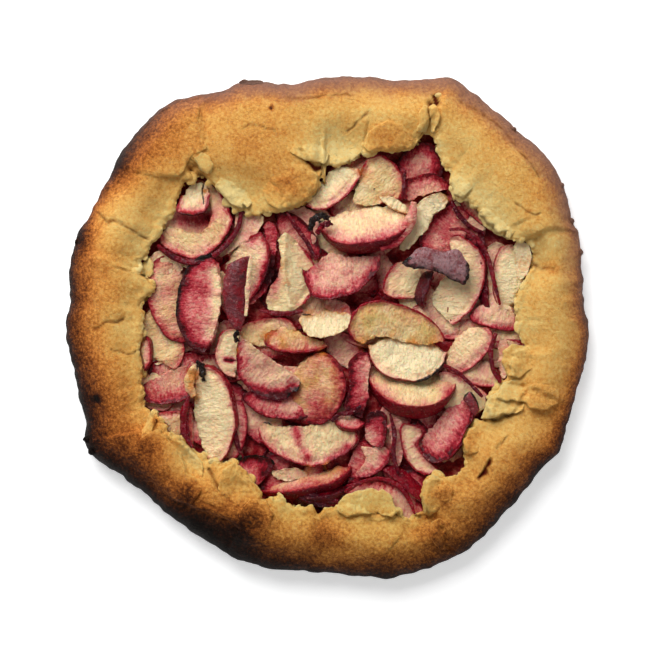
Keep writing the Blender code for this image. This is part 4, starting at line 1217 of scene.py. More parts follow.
# %% Outlines of scraps and paths of peels
# Scraps of flesh: outline, height in the heap, and how rosy they are.
SCRAPS = (
    ("veil_west_nook", ((-97, 38), (-90, 42), (-82, 40), (-76, 34), (-78, 28), (-86, 27), (-94, 31)), 5.2,
      0.34),
    ("veil_northwest", ((-50, 62), (-44, 63), (-36, 61), (-33, 56), (-38, 50), (-46, 44), (-56, 36),
      (-60, 38), (-54, 46), (-49, 54)), 4.8, 0.34),
    ("veil_under_curl", ((-88, 60), (-80, 64), (-66, 62), (-62, 54), (-68, 47), (-80, 50), (-88, 53)),
      2.6, 0.3),
    ("fold_northwest", ((-35, 55), (-31, 58), (-27, 55), (-26, 47), (-27, 38), (-30, 30), (-33, 38),
      (-33, 48)), 6.6, 0.86),
    ("band_northwest", ((-31, 42), (-28, 38), (-27, 30), (-32, 21), (-38, 13), (-43, 11), (-40, 16),
      (-35, 24)), 5.4, 0.78),
    ("veil_northern", ((-24, 64), (-14, 66), (-6, 62), (-3, 54), (-6, 44), (-12, 42), (-20, 50)), 4,
      0.52),
    ("shred_east", ((100, 46), (108, 45), (111, 38), (108, 28), (103, 24), (100, 30), (99, 38)), 6, 0.1),
    ("strip_east", ((92, -6), (97, -5), (98, -16), (97, -27), (93, -28), (91, -18)), 5.4, 0.42),
    ("veil_south", ((33, -48), (39, -47), (42, -56), (41, -68), (38, -76), (34, -70), (33, -60)), 4.4,
      0.56),
    ("veil_south_lip", ((-31, -77), (-20, -74), (-9, -77), (-12, -82), (-26, -83)), 3.2, 0.28),
    ("veil_east", ((84, 44), (92, 47), (98, 42), (93, 30), (90, 16), (86, 14), (85, 28)), 3.4, 0.4),
    ("veil_middle", ((-28, -20), (-16, -20), (-10, -28), (-14, -40), (-24, -44), (-36, -44), (-30, -38),
      (-16, -34)), 4.2, 0.36),
    ("veil_southwest", ((-62, -66), (-52, -60), (-46, -64), (-44, -74), (-50, -80), (-58, -78)), 3.4,
      0.26),
    ("veil_centre", ((-4, 12), (4, 16), (12, 12), (12, 4), (4, 6)), 5, 0.62),
    ("veil_northeast", ((66, 66), (74, 70), (84, 62), (88, 54), (82, 50), (72, 54)), 3.6, 0.34),
    ("veil_west", ((-100, 0), (-92, 4), (-86, -4), (-84, -16), (-92, -22), (-100, -14)), 3, 0.3),
    ("veil_southeast", ((62, -68), (72, -62), (78, -56), (74, -52), (66, -58), (58, -66)), 3.6, 0.62),
)
# Strips of skin that came away from the flesh: their path, width in mm, height in the heap, tone.
PEELS = (
    ("peel_north", ((-22, 62), (-17, 54), (-11, 46), (-6, 36)), 2, 8, 0.75),
    ("peel_ring_east", ((65, 52), (72, 53), (80, 48), (86, 38), (89, 24), (92, 12)), 1.8, 7.5, 0.55),
    ("peel_east", ((90, -3), (87, -12), (88, -22), (93, -30)), 2, 7, 0.5),
    ("peel_ring_west", ((-46, 64), (-46, 57), (-50, 49), (-56, 42), (-64, 36), (-74, 34), (-84, 38),
      (-91, 44)), 3, 6.5, 0.65),
    ("peel_west", ((-74, -37), (-77, -46), (-77, -56), (-72, -64)), 3.2, 8, 0.5),
    ("peel_south_inner", ((-15, -88), (-6, -91), (6, -93)), 4, 5, 0.85),
    ("peel_south_outer", ((-15, -91), (-2, -95), (10, -94)), 3, 5, 0.95),
    ("peel_boat_east", ((62, -20), (70, -24), (77, -31), (83, -37)), 1.6, 8, 0.75),
    ("peel_arch", ((9, -88), (18, -82), (28, -80), (38, -84), (44, -92), (47, -100)), 2, 6.5, 0.3),
    ("peel_skin_north", ((41, 84), (41, 76), (40, 68)), 1.4, 8.5, 0.7),
    ("peel_northeast", ((66, 68), (70, 60), (76, 54), (84, 50)), 2.2, 5.5, 0.85),
    ("peel_middle", ((2, -50), (6, -46), (12, -46), (18, -42)), 1.8, 7, 0.75),
    ("peel_southeast", ((33, -46), (36, -56), (35, -68), (38, -78)), 2.2, 6.5, 0.8),
    ("peel_southwest", ((-54, -44), (-50, -54), (-48, -64), (-45, -70)), 2, 5.5, 0.6),
    ("peel_boat_end", ((46, 67), (45, 59), (41, 51), (35, 45), (28, 42)), 6, 10.6, 0.34),
    ("peel_spear_edge", ((-41, 38.5), (-41.4, 32), (-42.6, 20), (-43.4, 6)), 2.2, 11.5, 0.06),
    ("peel_ridge_foot", ((-36, 9), (-28, 7.5), (-20, 7.5), (-13, 9)), 2.2, 6, 0.55),
    ("curl_west_burnt", ((-70, -18), (-67, -20), (-67, -26)), 2.6, 11.5, 0.6),
    ("fold_west_amber", ((-70, -20), (-73, -25), (-74, -31), (-71, -37)), 5, 10, 0.05),
    ("curl_north_burnt", ((-9, 52), (-8, 57), (-3, 60), (1, 58)), 3.6, 12, 0.8),
    ("curl_north_fold", ((-6, 50), (-2, 55), (2, 56)), 3, 12.5, 0.8),
    ("curl_drop_burnt", ((-48, -8), (-49, -4), (-47, -2)), 2.2, 11, 0.6),
)
# Strips that are flesh and not skin.
FLESHY = ("peel_boat_end", "peel_spear_edge", "fold_west_amber")
print(len(SCRAPS), "scraps and", len(PEELS), "peels")

# %% [markdown]
# Sugar burnt black on tips and along skins, edges went amber, and juice stained pale flesh pink.
# Char follows a line on one piece, with a width and a strength. Amber and juice are spots of x, y,
# spread and strength. Some slices went honey brown, and some skins show a pale dust that is partly
# a painted sheen of the glossy skin.

# %% Char, amber and juice
CHAR = (
    ("slice_red_west", ((-58, 39), (-66, 38), (-72, 37), (-76, 33), (-79, 27), (-81, 18), (-82, 8)), 2,
      1.2),
    ("slice_north_boat", ((-7, 53), (-5, 57), (-2, 60)), 2, 1.4),
    ("slice_west_white", ((-68, -19), (-66, -22), (-66, -28)), 1.3, 0.95),
    ("curl_west_burnt", ((-70, -18), (-66, -20), (-65, -28)), 4, 1.3),
    ("curl_north_burnt", ((-9, 55), (-3, 60), (3, 57)), 5, 1.3),
    ("curl_drop_burnt", ((-49, -2), (-48, -7)), 3, 1.3),
    ("slice_red_drop", ((-47, -3), (-49, -9)), 1.2, 1.1),
    ("slice_red_drop", ((-13, -29), (-16, -34), (-21, -37)), 1.8, 1),
    ("slice_dark_cap", ((38, 33), (43, 40)), 1.6, 1),
    # The dark cap's wide bands along its south and east edges are charred skin and also painted shade, on
    # the sides turned away from the lamp.
    ("slice_dark_cap", ((38, 33), (45, 31.4), (58, 28.4), (69, 23.4), (73, 21)), 3.6, 0.8),
    ("slice_dark_cap", ((73, 22), (75.8, 28), (75.4, 33)), 2.8, 0.8),
    ("slice_dark_cap", ((38, 33), (43, 37)), 2.2, 1),
    ("slice_dark_cap", ((46, 43), (52, 44), (70, 42)), 0.8, 0.7),
    ("slice_east_pale", ((68, -18), (62, -20), (56, -26), (48, -29)), 1.3, 1),
    ("slice_south_moon", ((-34, -50), (-28, -52), (-18, -52), (-8, -51)), 1.1, 1),
    ("slice_garnet_southwest", ((-50, -71), (-41, -67), (-30, -69), (-27, -73)), 1.8, 1.2),
    ("slice_cream_small", ((-14, 7), (-8, 7), (-2, 10)), 0.7, 0.8),
    ("slice_purple_chip", ((72, -38), (76, -33), (82, -44)), 0.9, 0.8),
    ("slice_skin_spear", ((-46, 25), (-44, 31)), 1.6, 0.45),
    ("slice_curl_north", ((-66, 79), (-67, 72), (-66, 66)), 0.5, 1.1),
    ("slice_curl_north", ((-82, 61), (-71, 59), (-63, 60)), 0.9, 0.9),
    ("slice_heart_pink", ((-15, 33), (-14, 26)), 1, 0.7),
    ("slice_garnet_north", ((58, 83), (65, 78)), 1.4, 0.7),
    ("slice_amber", ((-31, 2), (-31, 1)), 0.8, 1),
    ("fold_west_amber", ((-69, -20), (-67, -27)), 1.4, 1.1),
    ("slice_white_nook", ((-55, -17), (-49, -17.4)), 1.1, 0.58),
    ("slice_north_glass", ((25, 74), (25.2, 74)), 0.7, 1),
)
AMBER = (
    (-72, -25, 2.6, 1.3), (-73, -31, 2, 0.8), (-70, -37, 2.5, 0.7), (-49, -12, 2.2, 0.6),
    (-33, -4, 2.5, 0.8), (-24, -8, 2.5, 0.5), (0, 9, 3, 0.6), (-10, 8, 2.4, 0.8), (8, 9, 2, 0.4),
    (37, 3, 16, 0.22), (46, -8, 2.4, 0.6), (56, -8, 2.6, 0.7), (35, -3, 2.4, 0.35), (55, -25, 2.6, 0.6),
    (19, -8, 3, 0.7), (-3, -14, 2, 0.9), (40, 60, 2.2, 0.5), (20, 80, 3, 0.45), (-66, 73, 1.2, 1),
    (28, 88, 5, 0.3), (-10, -76, 2.6, 0.8), (0, -74, 2.4, 0.8), (6, -76, 2.4, 0.5), (17, 84, 2, 0.5),
    (63, 69, 2.4, 0.6), (-22, 24, 2.4, 0.5), (-23, 34, 2.4, 0.5), (-22, 44, 2.2, 0.5), (30, 60, 2, 0.3),
    (45, 55, 2.5, 0.4), (-18, 76, 2.4, 0.3), (-17, -7, 8, 0.3), (-73, 61, 6, 0.25), (-60, 50, 5, 0.3),
    (105, 34, 4, 0.5),
)
JUICE = (
    (-17, -54, 2, 0.45), (-16, -58, 1.9, 0.45), (-15, -62, 1.7, 0.4), (-13, -66, 1.7, 0.35),
    (-11, -70, 2, 0.35), (6, -68, 2.2, 0.3), (10, -64, 1.8, 0.3), (2, -71, 2.2, 0.35),
    (-44, -33, 3.4, 0.3), (-36, -36, 3.4, 0.45), (-27, -37, 3.4, 0.5), (-19, -34, 3, 0.5),
    (15, 44, 5, 0.22), (30, 46, 6, 0.25), (-30, 30, 3.5, 0.3), (-40, 46, 4, 0.25), (64, -34, 3, 0.35),
    (-60, -60, 4, 0.12), (-5, -44, 6, 0.25), (-84, 20, 4, 0.15), (-60, 62, 4, 0.12), (84, -20, 4, 0.15),
    (-38, 20, 3, 0.15), (-30, 24, 5, 0.25), (30, -38, 6, 0.15), (58, -30, 3, 0.2), (-60, 29, 2.6, -0.45),
    (-59, 22, 2.6, -0.5), (-59, 14, 2.6, -0.5), (-60, 6, 2.6, -0.45), (-62, -2, 2.4, -0.35),
    (20, -45, 6, 0.45), (16, -30, 4, 0.1), (-29, 26, 3, 0.3), (-30, 18, 3, 0.2), (-29, 37, 3, 0.3),
    (-31, 30, 3.5, 0.25), (-54, -17.2, 1.2, 0.8), (-51, -17.4, 1.2, 0.9), (-78, 59, 3.5, 0.35),
    (-70, 58, 4, 0.45), (-64, 59, 3, 0.45),
)
HONEY = {
    "slice_long_pale": 0.85, "slice_north_glass": 0.65, "slice_ring_northwest": 0.5,
    "slice_centre_south": 0.95, "slice_amber": 0.95, "slice_ridge": 0.3, "slice_pale_nest": 0.3,
    "slice_east_boat": 0.5, "slice_west_long": 0.6, "slice_west_broad": 0.6, "slice_blush_arch": 0.5,
    "slice_bark_south": 0.8, "slice_rim_northeast": 0.4, "slice_southwest_rim": 0.5,
    "slice_south_moon": 0.3, "slice_east_diamond": 0.25, "slice_pink_west": 0.4, "fold_west_amber": 0.9,
    "slice_northeast_torn": 0, "slice_east_pale": 0,
}
# How pale each skin is made: partly dust on it, partly a painted sheen of its gloss.
DUST_AND_SHEEN = {
    "slice_dark_cap": 0.72, "slice_skin_spear": 0.12, "slice_dark_post": 0.06, "slice_purple_chip": 0.15,
}
print(len(CHAR), "burnt lines,", len(AMBER), "amber spots and", len(JUICE), "stains")

# %% [markdown]
# ## The nectarine slices: a clean wedge
# A slice has two flat faces that meet at the stone, and a round skin. So a disc is drawn out into
# the cut face, spun about the fruit's axis, remeshed into an even skin and smoothed. How deep each
# point lies under the skin is worked out at once, because the cooking and the finish need it.

# %% Shape of a clean wedge
BLUNT = 0.07  # how blunt the stone side is, as a share of the slice's width
WEDGE_VOXEL = 0.75
SKIN_POWER = 0.9  # below 1, the skin's curve is fuller than half a circle
FACE_CORNERS, SPIN_STEPS = 56, 6


def half_length(spec):
    return (Vector(spec.head) - Vector(spec.tail)).length / 2


def stone_axis(spec):
    """Where the two cut faces meet, across the slice."""
    return min(0.0, spec.core) - BLUNT * (spec.skin - min(0.0, spec.core))


def cut_face(spec):
    """A disc drawn out into the cut face: half its rim is skin, the other half the stone side."""
    wedge = filled_circle(spec.name + "_baked", FACE_CORNERS)
    half = half_length(spec)
    for vert in wedge.data.vertices:
        turn = math.atan2(vert.co.y, vert.co.x)
        if abs(turn) <= math.pi / 2 + 1e-6:
            x, y = spec.skin * max(0.0, math.cos(turn)) ** SKIN_POWER, half * math.sin(turn)
        else:
            share = math.sin(turn)
            x, y = spec.core * (1 - share**2), half * (0.9 + 0.1 * share**2) * share
        vert.co = (x * MM, y * MM, 0.0)
    return wedge


def spin_wedge(wedge, spec):
    edit_all()
    bpy.ops.mesh.spin(
        steps=SPIN_STEPS,
        angle=math.radians(spec.wedge),
        center=(stone_axis(spec) * MM, 0.0, 0.0),
        axis=(0.0, -1.0, 0.0),
    )
    face_outwards()
    if points_of(wedge)[:, 2].max() > 0.5:
        raise ValueError(spec.name + " was spun upwards")
    remesh(wedge, WEDGE_VOXEL, 4)


def wedge_depth(spec, points):
    """How deep in mm a point lies under the skin of a wedge, and how near its stone side is."""
    axis, half = stone_axis(spec), half_length(spec)
    across = np.maximum(np.hypot(points[:, 0] - axis, points[:, 2]) + axis, 0.0) / spec.skin
    along = points[:, 1] / half
    power = 2 / SKIN_POWER
    q = np.sqrt(across**power + along**2) + 1e-6
    steep = np.hypot((1 / SKIN_POWER) * across ** (power - 1) / spec.skin, along / half) / q + 1e-6
    width = spec.skin - min(0.0, spec.core)
    from_core = points[:, 0] - spec.core * (1 - along**2)
    return (1.0 - q) / steep, np.clip(1.0 - from_core / (0.2 * width + 0.5), 0, 1)


def wedge_body(spec):
    """The wedge, its points in its own frame, their depth and their nearness to the stone side."""
    wedge = cut_face(spec)
    spin_wedge(wedge, spec)
    local = points_of(wedge)
    return wedge, local, *wedge_depth(spec, local)


print("longest slice", round(max(2 * half_length(spec) for spec in SLICES)), "mm")

# %% [markdown]
# ## The nectarine slices: a torn or folded one
# A drawn slice starts from a disc too. Its rim is moved out to the outline, it is extruded into a
# slab, and its underside is made smaller, as a wedge's would be. The cut face then sinks a little
# inside its skin, and a slice that lies skin up swells instead.

# %% Shape of a drawn slice
SLAB_TAPER = 0.82  # how much smaller the underside is than the face
SLAB_WEAR = 0.8  # what smoothing takes off an edge, in mm
SLAB_VOXEL = 0.65
SKIN_SWELL, FACE_SINK = (2.6, 4.0), (-0.9, 2.5)  # height in mm, and how far from the edge it builds up
STEEP_ROLL = 50  # degrees: a slice on edge
SLAB_EDGE = ((0, 61), (1, 62))  # axis, and seed of its raggedness


def own_frame(spec, path):
    """A drawn line in a slice's own frame, where its skin is on the right."""
    tail, head = np.array(spec.tail, float), np.array(spec.head, float)
    along = (head - tail) / np.linalg.norm(head - tail)
    away = np.asarray(path, float) - (tail + head) / 2
    across = away @ np.array([along[1], -along[0]]) / math.cos(math.radians(spec.roll))
    return np.stack([across, away @ along], axis=1)


def drawn_slab(spec, outline, thick):
    """A slab cut to the outline, its face up at the height 0 and its underside drawn in."""
    edge = closed_edge(outline, 5)
    for _ in range(3):
        edge = 0.5 * edge + 0.25 * (np.roll(edge, 1, axis=0) + np.roll(edge, -1, axis=0))
    flat = np.concatenate([edge, np.zeros((len(edge), 1))], axis=1)
    for axis, seed in SLAB_EDGE:
        flat[:, axis] += layered(flat, ((0.35, 3.0, seed + spec.skin), (0.3, 7.0, seed)))
    slab = filled_circle(spec.name + "_baked", len(edge))
    move_points(slab, flat)
    edit_all()
    extrude(-thick)
    middle = Vector((*(edge.mean(axis=0) * MM), -thick * MM))
    bpy.ops.transform.resize(value=(SLAB_TAPER, SLAB_TAPER, 1.0), center_override=middle)
    face_outwards()
    remesh(slab, SLAB_VOXEL, 2)
    return slab


def slab_depth(spec, points, outline, kind):
    """The same two measures as wedge_depth, for a slab."""
    x, y, z = points.T
    half, ends = half_length(spec), np.concatenate([outline, outline[:1]])
    skin, stone = np.full_like(x, 1e3), np.full_like(x, 1e3)
    for start, stop in zip(ends, ends[1:]):
        away = np.abs(signed_distance(x, y, (start, stop)))
        u, v = (start + stop) / 2
        bow = max(0.0, 1 - (v / half) ** 2)
        on_skin = u > spec.core * bow + 0.45 * (spec.skin - spec.core) * math.sqrt(bow) - 0.5
        if on_skin:
            skin = np.minimum(skin, away)
        else:
            stone = np.minimum(stone, away)
    if kind == "skin_up":
        return np.where(z > -1.6, 0.0, 4.0), np.zeros_like(x)
    if kind == "bare":
        return np.full_like(x, 9.0), np.exp(-np.minimum(skin, stone) / 1.4)
    under = (z < -1.0) & (skin < stone)
    return np.where(under, 0.0, np.maximum(skin - SLAB_WEAR, 0.0)), np.exp(-stone / 1.6)


def slab_kind(name, thick):
    if name in SKIN_UP:
        return "skin_up"
    return "bare" if name in BARE or thick < 3 else "skinned"


def laid_flat(spec):
    """A drawn slab lies nearly level, however steep its wedge was."""
    if spec.roll > STEEP_ROLL:
        return spec._replace(roll=8, lift=spec.lift + 0.22 * spec.skin)
    return spec._replace(roll=0) if spec.roll < -30 else spec


def slab_body(spec, outline, thick, kind):
    """The slab, with the same three measures as wedge_body."""
    outline = own_frame(spec, outline)
    slab = drawn_slab(spec, outline, thick)
    local = points_of(slab)
    depth, core_side = slab_depth(spec, local, outline, kind)
    loop = np.concatenate([outline, outline[:1]])
    inside = np.abs(signed_distance(local[:, 0], local[:, 1], loop))
    height, reach = SKIN_SWELL if kind == "skin_up" else FACE_SINK
    local[:, 2] += height * (1 - np.exp(-inside / reach)) * (local[:, 2] > -1.0)
    return slab, local, depth, core_side


print(sum(spec.roll > STEEP_ROLL for spec in SLICES), "slices stand on edge")

# %% [markdown]
# ## The nectarine slices: cooking
# In the oven the flesh shrinks, dries into fibres from the stone to the skin and tears, while the
# skin wrinkles. This is worked out in the slice's own frame, so that the fibres follow the slice.

# %% Cook a slice
FLESH_EDGE, FLESH_BLUR = 0.9, 0.3  # mm under the skin where flesh begins, and how softly
GROOVE = (0.6, 2.4, 1.5)  # the shrunken line behind the skin: how deep, how far in, how wide


def cook(local, normal, depth, core_side, spec, number):
    """Shrinks, wrinkles and tears a slice in its own frame."""
    along = local[:, 1] / half_length(spec)
    flesh = 1.0 / (1.0 + np.exp(-(depth - FLESH_EDGE) / FLESH_BLUR))
    fibre = np.stack([local[:, 0] * 0.45, local[:, 1], local[:, 2]], axis=1)
    rough = 0.12 * unevenness(fibre, 2.0, number) + 0.22 * unevenness(local, 1.6, number + 0.5)
    rough += 0.45 * unevenness(local, 6.0, number + 0.3) + 0.10 * unevenness(fibre, 3.6, number + 0.4)
    deep, far_in, wide = GROOVE
    rough -= deep * np.exp(-(((depth - far_in) / wide) ** 2))
    wrinkle = np.stack([local[:, 0], local[:, 1] * 0.5, local[:, 2]], axis=1)
    folds = layered(wrinkle, ((0.34, 4.5, number + 0.6), (0.20, 1.8, number + 0.8)))
    push = flesh * rough + (1.0 - flesh) * folds
    push = push + core_side * (unevenness(local * [0.6, 1, 1], 2.4, number + 0.9) - 0.3)
    local = local + normal * push[:, None]
    for axis, seed in ((0, 0.15), (1, 0.35), (2, 0.55)):
        drift = 0.9 * unevenness(local * [1, 1, 0.3], 13, number + seed)
        local[:, axis] += drift + 0.35 * unevenness(local, 5, number + seed + 0.1)
    chance = random.Random(spec.name)
    bend, twist = chance.uniform(-0.07, 0.06), chance.uniform(-0.06, 0.06)
    width = spec.skin - min(0.0, spec.core)
    local[:, 2] += bend * width * (along**2 - 0.4) + twist * local[:, 0] * along
    return local


def char_on(name, points):
    """How charred a piece is along its own burnt lines."""
    x, y, _ = points.T
    char = np.zeros_like(x)
    ragged = 1.0 + 0.7 * unevenness(points, 2.2, 71)
    for owner, path, width, amount in CHAR:
        if owner == name:
            away = np.abs(signed_distance(x, y, path))
            char = np.maximum(char, amount * np.exp(-((away / (width * ragged.clip(0.3))) ** 2)))
    return char


print(len({owner for owner, *_ in CHAR}), "pieces have burnt lines")

# %% [markdown]
# A cooked slice is laid in the heap, its face up and its skin on the right of the way from tail to
# head. Points that would sink through the floor of the case or poke through its torn edge are drawn
# in.

# %% Lay a slice in the heap
HEAP_FLOOR = BED_TOP - 3.6
EDGE_GAP, TUCK = 0.8, 2.2  # room to the torn edge, and how far a slice may reach under the lip
LEFTOVER = 0.06  # what stays of a reach that is too long, so that no wall is dead straight


def slice_placement(spec):
    tail, head = Vector(spec.tail), Vector(spec.head)
    run, middle = head - tail, (tail + head) / 2
    roll, pitch = math.radians(spec.roll), math.radians(spec.pitch)
    height = BED_TOP + spec.lift - (spec.skin + min(0.0, spec.core)) / 2 * math.sin(roll)
    return (
        Matrix.Translation((middle.x, middle.y, height))
        @ Matrix.Rotation(math.atan2(run.y, run.x) - math.pi / 2, 4, "Z")
        @ Matrix.Rotation(pitch, 4, "X")
        @ Matrix.Rotation(-roll, 4, "Y")
    )


def fit_to_case(points):
    """Keeps a slice off the floor, and within the torn edge of the pastry."""
    x, y, z = points.T
    z = flatten_tops(np.where(z < HEAP_FLOOR, HEAP_FLOOR + 0.04 * (z - HEAP_FLOOR), z))
    reach = np.hypot(x, y)
    torn = outline_radius(TORN_EDGE, bearing_of(x, y), False)
    under = np.clip((LIP - 3.5 - z) / 2.0, 0.0, 1.0)
    limit = torn - EDGE_GAP + TUCK * under
    over = np.maximum(reach - limit, 0.0)
    share = (limit + LEFTOVER * over) / np.maximum(reach, 1e-6)
    share = np.where(over > 0, share, 1.0)
    return np.stack([x * share, y * share, z], axis=1)


def keep_cooking(piece, spec, number, local, world, depth, core_side):
    """Stores what the nectarine's finish reads at each point."""
    x, y, z = world.T
    warmth = 0.12 * unevenness(world, 11, number + 0.2)
    # Points low in the heap, in the crevices between slices, are made rosier and so darker: painted
    # shade.
    low = np.clip((BED_TOP + 2.0 - z) / 5.0, 0.0, 1.0)
    torn = 0.6 if spec.name in BARE else 0.35
    store(piece, "depth", depth)
    store(piece, "rosy", 0.75 * spec.rosy + warmth + 0.35 * low + spot_sum(x, y, JUICE))
    store(piece, "halo", np.full_like(x, 0.34 + 0.5 * spec.rosy))
    store(piece, "char", char_on(spec.name, world))
    store(piece, "amber", spot_sum(x, y, AMBER) + torn * core_side * (spec.rosy < 0.3))
    store(piece, "dusty", np.full_like(x, DUST_AND_SHEEN.get(spec.name, 0.0)))
    store(piece, "honey", np.full_like(x, HONEY.get(spec.name, 0.12)))
    store(piece, "grain", local + [0, 0, 60 * number], "FLOAT_VECTOR", "vector")


def make_slice(spec, number, outline=None, thick=None):
    if outline is None:
        piece, local, depth, core_side = wedge_body(spec)
    else:
        spec = laid_flat(spec)
        piece, local, depth, core_side = slab_body(spec, outline, thick, slab_kind(spec.name, thick))
    local = cook(local, normals_of(piece), depth, core_side, spec, number)
    place = np.array(slice_placement(spec))
    world = local @ place[:3, :3].T + place[:3, 3]
    if spec.name in CREASES:
        path, height = CREASES[spec.name]
        away = np.abs(signed_distance(world[:, 0], world[:, 1], path))
        world[:, 2] += height * np.exp(-away / 6.0) - 0.25 * height
    world[:, 2] += char_on(spec.name, world) * (0.4 + 0.6 * unevenness(world, 1.2, number))
    world = fit_to_case(world)
    move_points(piece, world)
    keep_cooking(piece, spec, number, local, world, depth, core_side)
    return piece


print("the heap's floor is", round(HEAP_FLOOR, 1), "mm above the table")

# %% [markdown]
# ## Materials: nectarine
# One finish serves all the slices, by how deep each point lies under the skin: glossy garnet skin,
# a thin dark line at the cut, pink flesh, then cream with fibres. One material for each colour
# would be simpler, but then no slice could blush towards its skin.

# %% Colours of nectarine
FLESH = (
    (0.00, tint(249, 227, 180)),
    (0.14, tint(248, 212, 164)),
    (0.28, tint(238, 184, 154)),
    (0.42, tint(222, 146, 132)),
    (0.56, tint(204, 92, 94)),
    (0.70, tint(170, 28, 48)),
    (0.85, tint(126, 2, 22)),
    (1.00, tint(72, 0, 8)),
)
SKIN = (
    (0.00, tint(154, 20, 36)),
    (0.22, tint(128, 1, 22)),
    (0.48, tint(102, 0, 20)),
    (0.75, tint(70, 0, 18)),
    (1.00, tint(38, 0, 13)),
)
HONEY_TINT, FRECKLE_TINT, DUST_AND_SHEEN_TINT = tint(218, 198, 142), tint(190, 120, 112), tint(178, 138, 140)
AMBER_TINT, CHAR_TINT = tint(200, 120, 40), tint(24, 10, 6)
Patterns = namedtuple("Patterns", "fibres veins blotch fine")


def fruit_patterns(fruit, grain):
    """Noises of the slice's own frame. The first two are drawn out from stone to skin."""
    drawn_out = fruit.stretched(grain, (0.42, 1.0, 1.0))
    return Patterns(
        fibres=fruit.grain(1.4, drawn_out, detail=3.0, rough=0.65),
        veins=fruit.grain(2.6, drawn_out, detail=3.0, rough=0.6),
        blotch=fruit.grain(6.0, grain, detail=4.0, rough=0.62),
        fine=fruit.grain(1.8, grain, detail=2.0, rough=0.7),
    )


def flesh_colour(fruit, grain, patterns, crease):
    """Cream to garnet flesh, blushing towards its skin."""
    reach = fruit.math("MULTIPLY", fruit.swayed(fruit.kept("depth"), patterns.veins, 7.0), 0.1)
    reach = fruit.ramp(reach, (0.06, 1.0), (0.26, 0.44), (0.80, 0.0))
    halo = fruit.math("MULTIPLY", reach, fruit.kept("halo"))
    tone = fruit.math("ADD", fruit.kept("rosy"), halo)
    for noise, amount in ((patterns.blotch, 0.30), (patterns.fibres, 0.34), (patterns.fine, 0.50)):
        tone = fruit.swayed(tone, noise, amount)
    tone = fruit.math("MULTIPLY_ADD", crease, -0.10, tone)
    patches = fruit.ramp(fruit.grain(9.0, grain, detail=3.0), (0.34, 0.35), (0.62, 1.0))
    honey = fruit.math("MULTIPLY", patches, fruit.kept("honey"))
    return fruit.blend(honey, fruit.ramp(tone, *FLESH), HONEY_TINT, "MULTIPLY")


def skin_colour(fruit, grain, patterns):
    """Garnet skin with freckles, and a pale dust that is partly a painted sheen."""
    tone = fruit.swayed(fruit.kept("rosy"), patterns.blotch, 1.3)
    tone = fruit.swayed(tone, patterns.fine, 0.5)
    freckle = fruit.ramp(fruit.grain(1.5, grain, detail=1.0), (0.66, 0.0), (0.74, 0.5))
    skin = fruit.blend(freckle, fruit.ramp(tone, *SKIN), FRECKLE_TINT)
    # The pale dust, partly a painted sheen that a glossy dark skin would show.
    bloom_and_sheen = fruit.ramp(fruit.swayed(patterns.blotch, patterns.fine, 0.5), (0.38, 0.25), (0.58, 1.0))
    return fruit.blend(fruit.math("MULTIPLY", bloom_and_sheen, fruit.kept("dusty")), skin, DUST_AND_SHEEN_TINT)


print(len(FLESH), "colours of flesh and", len(SKIN), "of skin")

# %% [markdown]
# The finish puts the layers together from the inside out: flesh, skin, amber, and char last.
# Fibres, creases and dimples are bumps, and cut flesh is a little rougher than skin.

# %% Nectarine
def nectarine_finish():
    fruit = Finish("nectarine")
    grain = fruit.kept("grain", "Vector")
    patterns = fruit_patterns(fruit, grain)
    crease = fruit.math("ABSOLUTE", fruit.math("SUBTRACT", patterns.veins, 0.5))
    crease = fruit.ramp(crease, (0.0, 1.0), (0.035, 0.0))
    flesh = flesh_colour(fruit, grain, patterns, crease)
    rim = fruit.swayed(fruit.kept("depth"), patterns.fibres, 1.2)
    rim = fruit.swayed(rim, patterns.blotch, 1.6)
    inside = fruit.ramp(fruit.math("MULTIPLY", rim, 0.2), (0.04, 0.0), (0.17, 1.0))
    colour = fruit.blend(inside, skin_colour(fruit, grain, patterns), flesh)
    amber = fruit.swayed(fruit.kept("amber"), patterns.fine, 0.9)
    colour = fruit.blend(fruit.ramp(amber, (0.25, 0.0), (0.95, 0.85)), colour, AMBER_TINT)
    char = fruit.swayed(fruit.kept("char"), patterns.fine, 0.9)
    colour = fruit.blend(fruit.ramp(char, (0.30, 0.0), (0.75, 1.0)), colour, CHAR_TINT)
    ribs = fruit.bump(patterns.fibres, 0.8)
    ribs = fruit.bump(crease, 0.20, under=ribs)
    gloss = fruit.swayed(fruit.ramp(inside, (0.0, 0.22), (1.0, 0.34)), patterns.blotch, 0.30)
    return fruit.end(
        Base_Color=colour,
        Roughness=gloss,
        Normal=fruit.bump(patterns.fine, 0.7, under=ribs),
        Subsurface_Weight=0.25,
        Subsurface_Scale=0.003,
        Specular_IOR_Level=0.22,
        Coat_Weight=0.06,
        Coat_Roughness=0.10,
    )


nectarine = nectarine_finish()
print("nectarine finish of", len(nectarine.node_tree.nodes), "nodes")

# %% [markdown]
# ## The nectarine slices: all of them
# Every row of the table becomes a slice. Its number seeds its unevenness, so no two slices are
# alike and each comes out the same every time.

# %% All the slices
SLAB_ON_EDGE = 5.0

faces = 0
for number, spec in enumerate(SLICES):
    on_edge = spec.roll > STEEP_ROLL
    slab_thick = SLAB_ON_EDGE if on_edge else 3.0 + 0.2 * (spec.skin - spec.core)
    wedge = make_slice(spec, number, DRAWN.get(spec.name), slab_thick)
    wedge.data.materials.append(nectarine)
    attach(wedge, "root")
    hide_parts(spec.name)
    faces += len(wedge.data.polygons)
print("all slices", faces, "faces")

# %% [markdown]
# ## Scraps of flesh
# A scrap is a thin drawn slab that lies nearly level. A row like a slice's is made up for it, its
# tips being the ends of its outline's longest way.

# %% Scraps of flesh
FIRST_SCRAP, SCRAP_THICK = 200, 2.4


